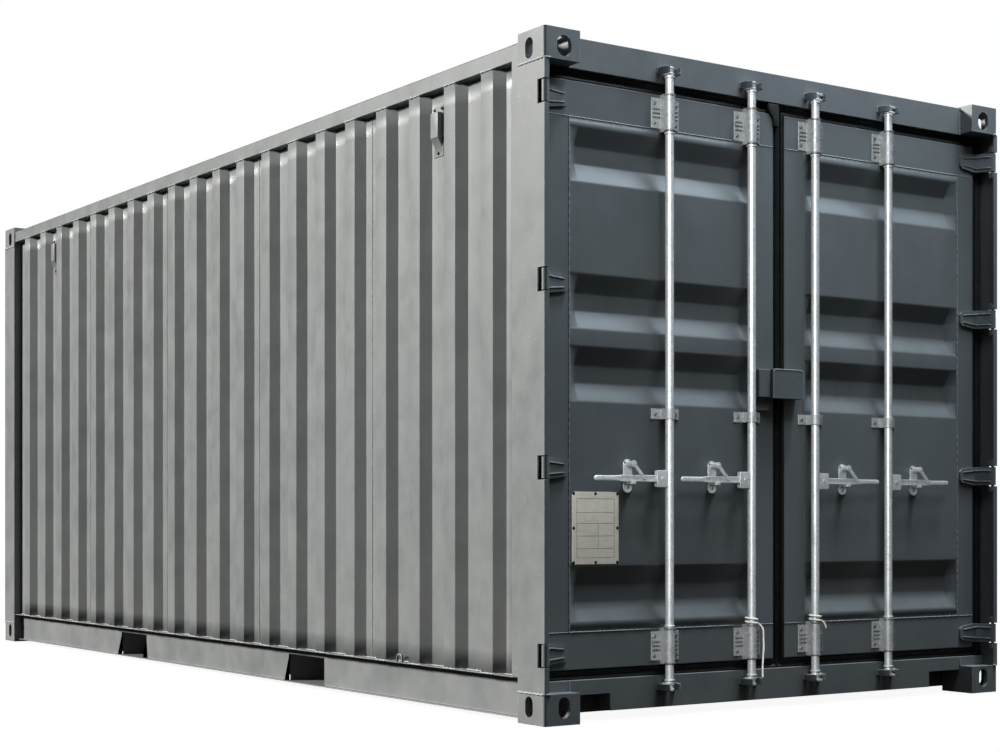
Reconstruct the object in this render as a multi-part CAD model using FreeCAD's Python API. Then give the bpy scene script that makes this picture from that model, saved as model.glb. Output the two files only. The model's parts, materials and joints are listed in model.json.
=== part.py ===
import FreeCAD, Part

import math
import os

# Twenty-foot general-purpose shipping container, in millimetres.
# +Z is up, +Y runs from the doors to the closed end, X runs across.
# The origin is on the ground at the middle of the footprint.
# The doors are at -Y. Each side is named as someone facing the doors sees it.

# ---- overall sizes ----
total_length = 6058.0
total_width = 2438.0
total_height = 2591.0

# ---- corner castings ----
casting_length = 178.0
casting_width = 162.0
casting_height = 118.0
casting_wall = 20.0
casting_round = 12.0
lock_slot_length = 124.0
lock_slot_width = 63.5
lock_slot_from_end = 102.5
lock_slot_from_side = 89.5
face_hole_width = 51.0
face_hole_height = 79.0
lift_hole_width = 64.0
face_hole_from_base = 66.0

# ---- steel frame ----
wall_set_back = 5.5
bottom_rail_low = 14.0
bottom_rail_height = 158.0
bottom_rail_top_flange = 48.0
bottom_rail_foot_flange = 30.0
bottom_rail_plate = 4.5
top_rail_size = 60.0
top_rail_drop = 32.0
top_rail_plate = 3.0
post_plate = 6.0
door_post_depth = 219.0
door_post_lip = 22.0
door_seat_depth = 80.0
door_seat_width = 43.0
door_seat_plate = 12.0
end_rail_plate = 4.0
end_rail_depth = 60.0

# ---- side and end walls ----
side_sheet = 2.0
side_depth = 36.0
side_pitch = 276.4
side_crest = 84.0
side_slope = 44.0
end_sheet = 2.0
end_depth = 45.0
end_pitch = 250.0
end_crest = 110.0
end_slope = 18.0

# ---- roof ----
roof_sheet = 2.0
roof_rise = 20.0
roof_pitch = 209.0
roof_crest = 91.0
roof_slope = 14.0
roof_end_slope = 28.0
roof_border = 60.0

# ---- floor and underframe ----
floor_board = 28.0
cross_member_height = 122.0
cross_member_width = 45.0
cross_member_plate = 4.0
cross_member_pitch = 280.0
cross_member_rise = 4.0
pocket_spacing = 2050.0
pocket_width = 352.0
pocket_plate = 4.0
pocket_strap = 200.0
floor_gap = 2.0

# ---- door end frame ----
header_face = 72.0
header_depth = 87.0
header_height = 118.0
header_drop = 123.0
sill_depth = 77.0
sill_low = 34.0
sill_top = 158.0
sill_notch_width = 192.0
sill_notch_top = 100.0

# ---- door leaves ----
leaf_face = 82.0
leaf_depth = 50.0
leaf_foot_gap = 39.0
leaf_head_gap = 43.0
leaf_side_gap = 69.0
leaf_inner = 30.0
outer_stile = 100.0
inner_stile = 108.0
top_rail_of_leaf = 136.0
bottom_rail_of_leaf = 142.0
stile_plate = 4.0
panel_sheet = 2.0
trough_depth = 36.0
trough_slope = 72.0
trough_flat = 66.0
trough_end_slope = 46.0
trough_margin = 3.0
trough_foot = 143.0
trough_middles = (5.0, 280.0)
trough_head = 137.0
seal_gap = 0.5
seal_bite = 6.5
seal_middle_gap = 1.0

# ---- hinges ----
hinge_count = 4
hinge_foot = 64.0
hinge_head = 73.0
hinge_height = 80.0
hinge_tip_height = 60.0
hinge_tip_from_edge = 88.0
hinge_plate = 10.0
pin_inset = 14.0
pin_radius = 7.0
pin_clearance = 0.3
knuckle_radius = 14.0
hinge_notch_gap = 5.0
hinge_notch_depth = 46.0
lug_height = 24.0
lug_reach = 12.0
blade_front = (2.0, 12.0)
blade_elbow = (13.0, 6.0)
blade_landing = 44.0
blade_heel = 20.0
blade_back = (9.0, 10.0)
blade_shoulder = 10.0
blade_corner = 12.0

# ---- lock bars ----
bar_from_outer = 556.0
bar_from_inner = 143.0
bar_radius = 17.0
bar_wall = 3.2
bar_from_face = 49.0
bar_overlap = 62.0
sleeve_wall = 4.0
sleeve_clearance = 1.0
top_sleeve_drops = (147.0, 1.0)
foot_sleeve_rises = (5.0, 146.0)
guide_sleeve = (1157.0, 1199.0)
bracket_plate = 4.0
bracket_wing = 46.0
bracket_inset = 14.0
cam_height = 34.0
cam_reach = 30.0
cam_shoulder = 2.0
keeper_clearance = 2.0
keeper_wall = 12.0
keeper_height = 26.0
keeper_mouth = 25.0
keeper_rise = 4.0

# ---- handles ----
handle_height = 924.0
handle_rivet = 40.0
handle_reach = 364.0
handle_thickness = 10.0
handle_depth = 26.0
handle_tip_depth = 20.0
hub_inner = 13.0
hub_outer = 68.0
hub_depth = 66.0
hub_plate = 4.0
rivet_radius = 5.0
rivet_clearance = 0.3
plate_clearance = 0.7
retainer_place = 182.0
retainer_width = 44.0
retainer_low = 869.0
retainer_high = 998.0
catch_pivot = 980.0
catch_length = 74.0
catch_width = 13.0
catch_plate = 6.0
catch_lean = 47.0
catch_gap = 0.5
catch_post_radius = 11.0
stud_head = 2.5
stud_root = 2.0
handle_gap = 1.5
shelf_width = 20.0
shelf_plate = 8.0
shelf_lip = 4.0
handle_heel = 16.0
grip_length = 130.0
rivet_head = 2.0

# ---- small fittings ----
plate_from_stile = 122.0
plate_height = 733.0
plate_size = (219.0, 276.0)
plate_thickness = 2.0
lock_box_low = 1258.0
lock_box_high = 1378.0
lock_box_plate = 4.0
lock_box_edges = (-73.0, 93.0)
lock_box_depth = 50.0
lock_box_lift = 8.0
lock_box_relief = 4.0
hidden_box_edges = (-137.0, -77.0)
hidden_box_depth = 38.0
hidden_box_inset = 4.0
stub_depth = 16.0
stub_width = 80.0
stub_drop = 50.0
stub_height = 30.0
vent_wave = 1
vent_drop = 160.0
vent_width = 57.0
vent_deep = 24.0
vent_tall = 147.0
vent_slope = 46.0
vent_flange = 30.0
vent_side = 10.0
vent_plate = 3.0
hook_wave = 2
hook_from_face = 12.0
hook_run = 42.0
hook_rise = 30.0
hook_radius = 5.0
rope_diameter = 7.0
rope_slack = 8.0
rope_gap = 0.3
rope_rise = 24.0
rope_fall = 16.0
rope_start = 150.0
rope_turns = 1.5
rope_steps = 8
arc_share = 0.45

# ---- cutters ----
past = 1.0
hair = 0.01

# ---- worked-out places ----
half_length = total_length / 2
half_width = total_width / 2
front = -half_length
wall_face = half_width - wall_set_back
rail_top = bottom_rail_low + bottom_rail_height
top_rail_high = total_height - top_rail_drop
top_rail_low = top_rail_high - top_rail_size
casting_y = half_length - casting_length
casting_x = half_width - casting_width
upper_casting = total_height - casting_height
web_x = wall_face - bottom_rail_top_flange
cross_member_top = bottom_rail_low + cross_member_rise + cross_member_height
floor_top = cross_member_top + floor_board
header_front = front + header_face
header_low = total_height - header_drop
header_high = header_low + header_height
leaf_low = sill_top + leaf_foot_gap
leaf_high = header_low - leaf_head_gap
leaf_outer = half_width - leaf_side_gap
leaf_front = front + leaf_face
leaf_back = leaf_front + leaf_depth
seat_front = front + door_post_depth - door_seat_depth
bar_y = front + bar_from_face
bar_places = (leaf_outer - bar_from_outer, leaf_inner + bar_from_inner)
sleeve_radius = bar_radius + sleeve_clearance + sleeve_wall
cam_waist = bar_radius + cam_shoulder
rope_loop = bar_radius + rope_slack
bar_low = sill_top - bar_overlap
bar_high = header_low + bar_overlap
top_sleeve = tuple(leaf_high - drop for drop in top_sleeve_drops)
foot_sleeve = tuple(leaf_low + rise for rise in foot_sleeve_rises)
pin_x = half_width - pin_inset
pin_y = front + pin_inset
panel_low = leaf_low + bottom_rail_of_leaf
panel_high = leaf_high - top_rail_of_leaf
panel_outer = leaf_outer - outer_stile
panel_inner = leaf_inner + inner_stile
panel_middle = (panel_low + panel_high) / 2
trough_heights = ([panel_low + trough_foot] + [panel_middle + rise for rise in trough_middles]
                  + [panel_high - trough_head])
hinge_low = leaf_low + hinge_foot
hinge_step = (leaf_high - hinge_head - hinge_low) / (hinge_count - 1)
hinge_heights = [hinge_low + index * hinge_step for index in range(hinge_count)]
hinge_tip_from_middle = leaf_outer - hinge_tip_from_edge
plate_middle = (-(panel_outer - plate_from_stile), plate_height)
vent_height = top_rail_low - vent_drop
side_waves = int((casting_y + half_length - door_post_depth) / side_pitch)
end_waves = int(2 * casting_x / end_pitch)
roof_waves = int(2 * (casting_y - roof_border) / roof_pitch)
handle_front = bar_y - handle_thickness / 2
catch_front = handle_front - handle_gap - catch_plate - catch_gap
rope_seat = foot_sleeve[1] + rope_diameter / 2 + rope_gap

X = FreeCAD.Vector(1, 0, 0)
Y = FreeCAD.Vector(0, 1, 0)
Z = FreeCAD.Vector(0, 0, 1)


def box(x0, x1, y0, y1, z0, z1):
    """A block between two opposite corners."""
    low = FreeCAD.Vector(min(x0, x1), min(y0, y1), min(z0, z1))
    return Part.makeBox(abs(x1 - x0), abs(y1 - y0), abs(z1 - z0), low)


def tube_box(x0, x1, y0, y1, z0, z1, wall, along):
    """A square tube: a block with a hollow that runs out of both ends of one axis."""
    grow = {axis: (-past if axis == along else wall) for axis in "xyz"}
    hollow = box(x0 + grow["x"], x1 - grow["x"], y0 + grow["y"], y1 - grow["y"],
                 z0 + grow["z"], z1 - grow["z"])
    return box(x0, x1, y0, y1, z0, z1).cut(hollow)


def prism(points, direction, low, high):
    """A flat outline pushed along an axis. The outline's numbers are the other two axes in order."""
    def place(point):
        if direction == "x":
            return FreeCAD.Vector(low, point[0], point[1])
        if direction == "y":
            return FreeCAD.Vector(point[0], low, point[1])
        return FreeCAD.Vector(point[0], point[1], low)
    corners = [place(point) for point in points]
    face = Part.Face(Part.makePolygon(corners + [corners[0]]))
    axis = {"x": X, "y": Y, "z": Z}[direction]
    return face.extrude(axis * (high - low))


def side_step(path, index, distance, closed):
    """The corner of a parallel line to a path, at one of the path's points."""
    count = len(path)
    before = path[index - 1] if (index > 0 or closed) else None
    after = path[(index + 1) % count] if (index < count - 1 or closed) else None
    here = path[index]
    normals = []
    for start, end in ((before, here), (here, after)):
        if start is None or end is None:
            continue
        run = math.hypot(end[0] - start[0], end[1] - start[1])
        normals.append((-(end[1] - start[1]) / run, (end[0] - start[0]) / run))
    if len(normals) == 1:
        return here[0] + normals[0][0] * distance, here[1] + normals[0][1] * distance
    along = normals[0][0] * normals[1][0] + normals[0][1] * normals[1][1]
    reach = distance / (1 + along)
    return (here[0] + (normals[0][0] + normals[1][0]) * reach,
            here[1] + (normals[0][1] + normals[1][1]) * reach)


def bent_plate(path, thickness, direction, low, high):
    """A plate folded along a path, with its thickness on the left of the path."""
    other = [side_step(path, i, thickness, False) for i in range(len(path))]
    return prism(list(path) + other[::-1], direction, low, high)


def hollow_section(outline, thickness, direction, low, high):
    """A closed section whose outline runs anticlockwise, with a wall inside it."""
    inside = [side_step(outline, i, thickness, True) for i in range(len(outline))]
    bore = prism(inside, direction, low - past, high + past)
    return prism(outline, direction, low, high).cut(bore)


def slot(width, height, depth, place, direction):
    """A round-ended cutter through a face: width lies along, height across."""
    radius = min(width, height) / 2
    reach = max(width, height) / 2 - radius
    pieces = []
    for sign in (-1, 1):
        offset = FreeCAD.Vector(0, 0, sign * reach)
        if direction == "z":
            offset = FreeCAD.Vector(0, sign * reach, 0)
        axis = {"x": X, "y": Y, "z": Z}[direction]
        pieces.append(Part.makeCylinder(radius, depth, place + offset, axis))
    if direction == "x":
        core = box(place.x, place.x + depth, place.y - radius, place.y + radius,
                   place.z - reach, place.z + reach)
    elif direction == "y":
        core = box(place.x - radius, place.x + radius, place.y, place.y + depth,
                   place.z - reach, place.z + reach)
    else:
        core = box(place.x - radius, place.x + radius, place.y - reach, place.y + reach,
                   place.z, place.z + depth)
    return core.fuse(pieces)


def swap_side(shape):
    """The same piece on the other side of the container's middle."""
    return shape.mirror(FreeCAD.Vector(0, 0, 0), X)


def swap_end(shape):
    """The same piece at the other end of the container."""
    return shape.mirror(FreeCAD.Vector(0, 0, 0), Y)


def fused(shapes):
    if len(shapes) == 1:
        return shapes[0]
    return shapes[0].fuse(shapes[1:]).removeSplitter()


def loose(shapes):
    """Pieces that don't touch, kept as separate solids of one node."""
    return Part.makeCompound([solid for shape in shapes for solid in shape.Solids])


# ---- corner castings ----
def casting(top):
    """A hollow cast block at the left of the door end, with three locking holes."""
    low = upper_casting if top else 0.0
    high = low + casting_height
    block = box(-half_width, -casting_x, front, front + casting_length, low, high)
    corner = [edge for edge in block.Edges
              if abs(edge.CenterOfMass.x + half_width) < 1 and abs(edge.CenterOfMass.y - front) < 1]
    block = block.makeFillet(casting_round, corner)
    wall = casting_wall
    hollow = box(-half_width + wall, -casting_x - wall, front + wall,
                 front + casting_length - wall, low + wall, high - wall)
    slot_x = -half_width + lock_slot_from_side
    slot_y = front + lock_slot_from_end
    hole_z = high - face_hole_from_base if top else low + face_hole_from_base
    face_z = high - wall - past if top else low - past
    end_width = lift_hole_width if top else face_hole_width
    cutters = [
        slot(lock_slot_width, lock_slot_length, wall + 2 * past,
             FreeCAD.Vector(slot_x, slot_y, face_z), "z"),
        slot(end_width, face_hole_height, wall + 2 * past,
             FreeCAD.Vector(slot_x, front - past, hole_z), "y"),
        slot(face_hole_width, face_hole_height, wall + 2 * past,
             FreeCAD.Vector(-half_width - past, slot_y, hole_z), "x"),
    ]
    return block.cut(hollow).cut(fused(cutters))


# ---- door end frame ----
def door_post():
    """The left door post: a folded outer plate, an inner channel and the hinge lugs and pins."""
    low = casting_height
    high = top_rail_low
    outer = bent_plate([(-half_width + door_post_lip, front), (-half_width, front),
                        (-half_width, front + door_post_depth)][::-1],
                       post_plate, "z", low, high)
    seat_x = -half_width + post_plate
    back = front + door_post_depth
    seat = box(seat_x, seat_x + door_seat_width, seat_front, back, low, high)
    seat = seat.cut(box(seat_x - past, seat_x + door_seat_width - door_seat_plate,
                        seat_front + door_seat_plate, back - door_seat_plate, low - past, high + past))
    shape = outer.fuse(seat)
    shape = shape.cut(box(-half_width - past, 0, front - past, -casting_y, upper_casting, high + past))
    shape = shape.cut(box(-half_width - past, 0, -casting_y, back + past, low - past, rail_top))
    pieces = [shape]
    for height in hinge_heights:
        gap = hinge_height / 2 + hinge_notch_gap
        pieces[0] = pieces[0].cut(box(-half_width - past, -half_width + door_post_lip + past,
                                      front - past, front + hinge_notch_depth,
                                      height - gap, height + gap))
    for height in hinge_heights:
        gap = hinge_height / 2 + hinge_notch_gap
        for bottom in (height - gap - lug_height, height + gap):
            pieces.append(box(-half_width + post_plate, -pin_x + lug_reach, front + post_plate,
                              pin_y + lug_reach,
                              bottom, bottom + lug_height))
        pieces.append(Part.makeCylinder(pin_radius, 2 * (gap + lug_height),
                                        FreeCAD.Vector(-pin_x, pin_y, height - gap - lug_height)))
    return fused(pieces)


def door_header():
    """The deep box over the doors, between the upper castings."""
    return tube_box(-casting_x, casting_x, header_front, header_front + header_depth,
                    header_low, header_high, end_rail_plate, "x")


def door_sill():
    """The box under the doors, with a notch beside each lower casting."""
    low_part = tube_box(-casting_x, casting_x, header_front, header_front + sill_depth,
                        sill_low, sill_top, end_rail_plate, "x")
    notch_edge = casting_x - sill_notch_width
    for sign in (-1, 1):
        low_part = low_part.cut(box(sign * notch_edge, sign * (casting_x + past), header_front - past,
                                    header_front + sill_depth + past, sill_low - past, sill_notch_top))
        low_part = low_part.cut(box(sign * notch_edge, sign * (casting_x + past),
                                    header_front + end_rail_plate,
                                    header_front + sill_depth - end_rail_plate,
                                    sill_notch_top - past, sill_top - end_rail_plate))
    pieces = [low_part]
    end = half_width - post_plate
    for sign in (-1, 1):
        pieces.append(box(sign * casting_x, sign * end, header_front, header_front + end_rail_plate,
                          casting_height, sill_top))
        pieces.append(box(sign * casting_x, sign * end, header_front, seat_front,
                          sill_top - end_rail_plate, sill_top))
        pieces.append(box(sign * (notch_edge - end_rail_plate), sign * notch_edge, header_front,
                          header_front + sill_depth, sill_low, sill_top))
        pieces.append(box(sign * (notch_edge - past), sign * casting_x, header_front,
                          header_front + sill_depth, sill_notch_top,
                          sill_notch_top + end_rail_plate))
    return fused(pieces)


# ---- closed end frame ----
def closed_post():
    """The left post at the closed end: a hollow five-sided section."""
    return_x = -wall_face + side_depth + side_sheet
    shoulder_y = half_length - wall_set_back - end_depth
    outline = [(-half_width, half_length), (-half_width, casting_y), (return_x, casting_y),
               (-casting_x, shoulder_y), (-casting_x, half_length)]
    return hollow_section(outline, post_plate, "z", casting_height, upper_casting)


def closed_end_header():
    return tube_box(-casting_x, casting_x, half_length - wall_set_back - end_rail_depth,
                    half_length - wall_set_back, top_rail_low, top_rail_high, top_rail_plate, "x")


def closed_end_sill():
    return tube_box(-casting_x, casting_x, half_length - wall_set_back - end_rail_depth,
                    half_length - wall_set_back, bottom_rail_low, rail_top, end_rail_plate, "x")


# ---- long rails ----
def top_side_rail():
    return tube_box(-wall_face, -wall_face + top_rail_size, -casting_y, casting_y,
                    top_rail_low, top_rail_high, top_rail_plate, "y")


def bottom_side_rail():
    """A channel that opens outwards, cut away where the forklift pockets pass through."""
    web = -web_x
    outline = [(-wall_face, rail_top), (web, rail_top), (web, bottom_rail_low),
               (web - bottom_rail_foot_flange, bottom_rail_low)]
    other = [side_step(outline, i, -bottom_rail_plate, False) for i in range(len(outline))]
    corners = [FreeCAD.Vector(x, -casting_y, z) for x, z in outline + other[::-1]]
    face = Part.Face(Part.makePolygon(corners + [corners[0]]))
    rail = face.extrude(Y * (2 * casting_y))
    for sign in (-1, 1):
        middle = sign * pocket_spacing / 2
        rail = rail.cut(box(-half_width, web + bottom_rail_plate + past, middle - pocket_width / 2,
                            middle + pocket_width / 2, 0, cross_member_top))
    return rail


# ---- walls ----
def wave_path(waves, pitch, crest, slope, high, low, start, end):
    """The line of a folded sheet from start to end, with its crests at high."""
    first = -((waves - 1) * pitch + crest) / 2
    points = [(start, low)]
    for index in range(waves):
        left = first + index * pitch
        points.append((left - slope, low))
        points.append((left, high))
        points.append((left + crest, high))
        points.append((left + crest + slope, low))
    points.append((end, low))
    return points


def side_wall():
    """The left wall: a vertically folded steel sheet between the rails and the posts."""
    path = wave_path(side_waves, side_pitch, side_crest, side_slope, -wall_face,
                     -wall_face + side_depth, front + door_post_depth, casting_y)
    return bent_plate([(x, y) for y, x in path][::-1], side_sheet, "z", rail_top, top_rail_low)


def end_wall():
    face = half_length - wall_set_back
    path = wave_path(end_waves, end_pitch, end_crest, end_slope, face, face - end_depth,
                     -casting_x, casting_x)
    return bent_plate(path[::-1], end_sheet, "z", rail_top, top_rail_low)


def frustum(x0, x1, y0, y1, z0, z1, slope_x, slope_y):
    """A flat-topped rise with four sloping sides."""
    low = [(x0, y0), (x1, y0), (x1, y1), (x0, y1)]
    high = [(x0 + slope_x, y0 + slope_y), (x1 - slope_x, y0 + slope_y),
            (x1 - slope_x, y1 - slope_y), (x0 + slope_x, y1 - slope_y)]
    rings = []
    for corners, z in ((low, z0), (high, z1)):
        points = [FreeCAD.Vector(x, y, z) for x, y in corners]
        rings.append(Part.makePolygon(points + [points[0]]))
    return Part.makeLoft(rings, True, True)


def roof():
    """A flat sheet with pressed cross ridges that stop short of its edges."""
    low = top_rail_high
    sheet = box(-wall_face, wall_face, -casting_y, casting_y, low, low + roof_sheet)
    tongue = box(-casting_x, casting_x, header_front + header_depth,
                 half_length - wall_set_back, low, low + roof_sheet)
    shape = sheet.fuse(tongue).removeSplitter()
    first = -((roof_waves - 1) * roof_pitch) / 2
    half_base = roof_crest / 2 + roof_slope
    edge = wall_face - roof_border
    rises = []
    hollows = []
    for index in range(roof_waves):
        middle = first + index * roof_pitch
        rises.append(frustum(-edge, edge, middle - half_base, middle + half_base,
                             low, low + roof_rise + roof_sheet, roof_end_slope, roof_slope))
        hollows.append(frustum(-edge + roof_sheet, edge - roof_sheet, middle - half_base + roof_sheet,
                               middle + half_base - roof_sheet, low - hair,
                               low + roof_rise, roof_end_slope, roof_slope))
    return shape.fuse(rises).cut(Part.makeCompound(hollows))


# ---- floor ----
def floor_boards():
    """The plywood floor between the long rails."""
    edge = web_x - bottom_rail_plate - floor_gap
    boards = box(-edge, edge, header_front + sill_depth, casting_y - floor_gap,
                 cross_member_top, floor_top)
    tongue = box(-casting_x, casting_x, casting_y - floor_gap,
                 half_length - wall_set_back - end_rail_depth, cross_member_top, floor_top)
    return fused([boards, tongue])


def cross_members():
    """The channels under the floor, left out where the forklift pockets pass."""
    edge = web_x - bottom_rail_plate
    low = cross_member_top - cross_member_height
    count = int(2 * casting_y / cross_member_pitch)
    first = -count * cross_member_pitch / 2
    members = []
    for index in range(count + 1):
        middle = first + index * cross_member_pitch
        clear = pocket_width / 2 + pocket_plate + cross_member_width
        if abs(abs(middle) - pocket_spacing / 2) < clear:
            continue
        left = middle - cross_member_width / 2
        right = middle + cross_member_width / 2
        channel = box(-edge, edge, left, right, low, cross_member_top)
        channel = channel.cut(box(-edge - past, edge + past, left + cross_member_plate, right + past,
                                  low + cross_member_plate, cross_member_top - cross_member_plate))
        members.append(channel)
    return loose(members)


def pocket_sides():
    """The four upright plates beside the two forklift pockets."""
    edge = web_x - bottom_rail_plate
    half = pocket_width / 2
    plates = []
    for sign in (-1, 1):
        middle = sign * pocket_spacing / 2
        for side in (-1, 1):
            plates.append(box(-edge, edge, middle + side * half, middle + side * (half + pocket_plate),
                              bottom_rail_low, cross_member_top))
    return loose(plates)


def pocket_plates():
    """The plate over each forklift pocket, and the strap under each of its mouths."""
    edge = web_x - bottom_rail_plate
    mouth = web_x + bottom_rail_foot_flange
    half = pocket_width / 2
    plates = []
    for sign in (-1, 1):
        middle = sign * pocket_spacing / 2
        plates.append(box(-edge, edge, middle - half, middle + half,
                          cross_member_top - pocket_plate, cross_member_top))
        for side in (-1, 1):
            plates.append(box(side * (edge - pocket_strap), side * mouth, middle - half,
                              middle + half, bottom_rail_low, bottom_rail_low + pocket_plate))
    return loose(plates)


# ---- doors ----
def leaf_frame():
    """The left leaf's frame: two stiles and two rails of square tube, joined at the corners."""
    parts = [
        box(-leaf_outer, -panel_outer, leaf_front, leaf_back, leaf_low, leaf_high),
        box(-panel_inner, -leaf_inner, leaf_front, leaf_back, leaf_low, leaf_high),
        box(-panel_outer, -panel_inner, leaf_front, leaf_back, leaf_low, panel_low),
        box(-panel_outer, -panel_inner, leaf_front, leaf_back, panel_high, leaf_high),
    ]
    wall = stile_plate
    hollows = [
        box(-leaf_outer + wall, -panel_outer - wall, leaf_front + wall, leaf_back - wall,
            leaf_low + wall, leaf_high - wall),
        box(-panel_inner + wall, -leaf_inner - wall, leaf_front + wall, leaf_back - wall,
            leaf_low + wall, leaf_high - wall),
        box(-panel_outer + wall, -panel_inner - wall, leaf_front + wall, leaf_back - wall,
            leaf_low + wall, panel_low - wall),
        box(-panel_outer + wall, -panel_inner - wall, leaf_front + wall, leaf_back - wall,
            panel_high + wall, leaf_high - wall),
    ]
    shape = fused(parts)
    for hollow in hollows:
        shape = shape.cut(hollow)
    return shape


def trough(height, inset, front_y, back_y):
    """A bowl with four sloping sides, as deep as its two planes are apart."""
    half = trough_flat / 2 + trough_slope
    rings = []
    for end, reach, y in ((0.0, half, front_y), (trough_end_slope, trough_flat / 2, back_y)):
        x0 = -panel_outer + trough_margin + end + inset
        x1 = -panel_inner - trough_margin - end - inset
        low = height - reach + inset / 2
        high = height + reach - inset / 2
        corners = [FreeCAD.Vector(x0, y, low), FreeCAD.Vector(x1, y, low),
                   FreeCAD.Vector(x1, y, high), FreeCAD.Vector(x0, y, high)]
        rings.append(Part.makePolygon(corners + [corners[0]]))
    return Part.makeLoft(rings, True, True)


def leaf_panel():
    """The left leaf's sheet, with four pressed troughs across it."""
    sheet_back = leaf_front + panel_sheet
    shape = box(-panel_outer, -panel_inner, leaf_front, sheet_back, panel_low, panel_high)
    outsides = [trough(height, 0.0, leaf_front + panel_sheet / 2, sheet_back + trough_depth)
                for height in trough_heights]
    insides = [trough(height, panel_sheet, leaf_front - hair, leaf_front + trough_depth)
               for height in trough_heights]
    return shape.fuse(outsides).cut(Part.makeCompound(insides))


def leaf_seal():
    """The rubber seal round the left leaf, from its edges out to the frame."""
    front_y = leaf_front + seal_bite
    back_y = seat_front - seal_gap
    outer = box(-half_width + post_plate + seal_gap, -seal_middle_gap, front_y, back_y,
                sill_top + seal_gap, header_low - seal_gap)
    return outer.cut(box(-leaf_outer, -leaf_inner, front_y - past, back_y + past, leaf_low, leaf_high))


def leaf_hinges():
    """Four blades on the left leaf, each with a knuckle on the post's pin."""
    blades = []
    tip = -hinge_tip_from_middle
    plan = [(-pin_x - blade_front[0], pin_y - blade_front[1]),
            (-pin_x + blade_elbow[0], pin_y - blade_elbow[1]),
            (-pin_x + blade_landing, leaf_front - hinge_plate), (tip, leaf_front - hinge_plate),
            (tip, leaf_front), (-leaf_outer - blade_heel, leaf_front),
            (-pin_x - blade_back[0], pin_y + blade_back[1])]
    for height in hinge_heights:
        half = hinge_height / 2
        tip_half = hinge_tip_height / 2
        knuckle = Part.makeCylinder(knuckle_radius, hinge_height,
                                    FreeCAD.Vector(-pin_x, pin_y, height - half))
        arm = prism(plan, "z", height - half, height + half)
        shoulder = -leaf_outer + blade_shoulder
        outline = [(-half_width - past, height - half), (shoulder, height - half),
                   (tip - blade_corner, height - tip_half), (tip, height - tip_half + blade_corner),
                   (tip, height + tip_half - blade_corner), (tip - blade_corner, height + tip_half),
                   (shoulder, height + half), (-half_width - past, height + half)]
        arm = arm.common(prism(outline, "y", front - past, leaf_front + past))
        bore = Part.makeCylinder(pin_radius + pin_clearance, hinge_height + 2 * past,
                                 FreeCAD.Vector(-pin_x, pin_y, height - half - past))
        blades.append(arm.fuse(knuckle).cut(bore))
    return loose(blades)


def saddle(bar_x, low, high):
    """A pressed strap over a lock bar, with a riveted wing on each side of it."""
    inner = bar_radius + sleeve_clearance
    height = high - low
    ring = Part.makeCylinder(sleeve_radius, height, FreeCAD.Vector(bar_x, bar_y, low))
    cheeks = box(bar_x - sleeve_radius, bar_x + sleeve_radius, bar_y, leaf_front, low, high)
    inset = 0.0 if (low, high) == guide_sleeve else bracket_inset
    wings = box(bar_x - sleeve_radius - bracket_wing, bar_x + sleeve_radius + bracket_wing,
                leaf_front - bracket_plate, leaf_front, low + inset, high - inset)
    bore = Part.makeCylinder(inner, height + 2 * past, FreeCAD.Vector(bar_x, bar_y, low - past))
    return fused([ring, cheeks, wings]).cut(bore)


def leaf_brackets(sign):
    """The bearing brackets and guides of both bars on one leaf."""
    pieces = []
    for place in bar_places:
        for low, high in (top_sleeve, guide_sleeve, foot_sleeve):
            pieces.append(saddle(sign * place, low, high))
    return loose(pieces)


def retainer(middle):
    """A plate with two riveted ends, a shelf with a lip under the handle and a post for the catch."""
    half = retainer_width / 2
    radius = half
    plate = box(middle - half, middle + half, leaf_front - bracket_plate, leaf_front,
                retainer_low + radius, retainer_high - radius)
    ends = [Part.makeCylinder(radius, bracket_plate,
                              FreeCAD.Vector(middle, leaf_front - bracket_plate, z), Y)
            for z in (retainer_low + radius, retainer_high - radius)]
    shelf_top = handle_height - handle_depth / 2 - plate_clearance
    shelf_half = shelf_width / 2
    post_front = handle_front - handle_gap
    lip_front = post_front - shelf_lip
    shelf = box(middle - shelf_half, middle + shelf_half, lip_front, leaf_front,
                shelf_top - shelf_plate, shelf_top)
    lip = box(middle - shelf_half, middle + shelf_half, lip_front, post_front,
              shelf_top - shelf_plate, shelf_top + shelf_lip)
    post = Part.makeCylinder(catch_post_radius, leaf_front - post_front,
                             FreeCAD.Vector(middle, post_front, catch_pivot), Y)
    stud = Part.makeCylinder(rivet_radius, post_front + stud_root - catch_front + stud_head,
                             FreeCAD.Vector(middle, catch_front - stud_head, catch_pivot), Y)
    return fused([plate] + ends + [shelf, lip, post, stud])


def leaf_retainers(sign):
    return loose([retainer(sign * (place + retainer_place)) for place in bar_places])


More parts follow.
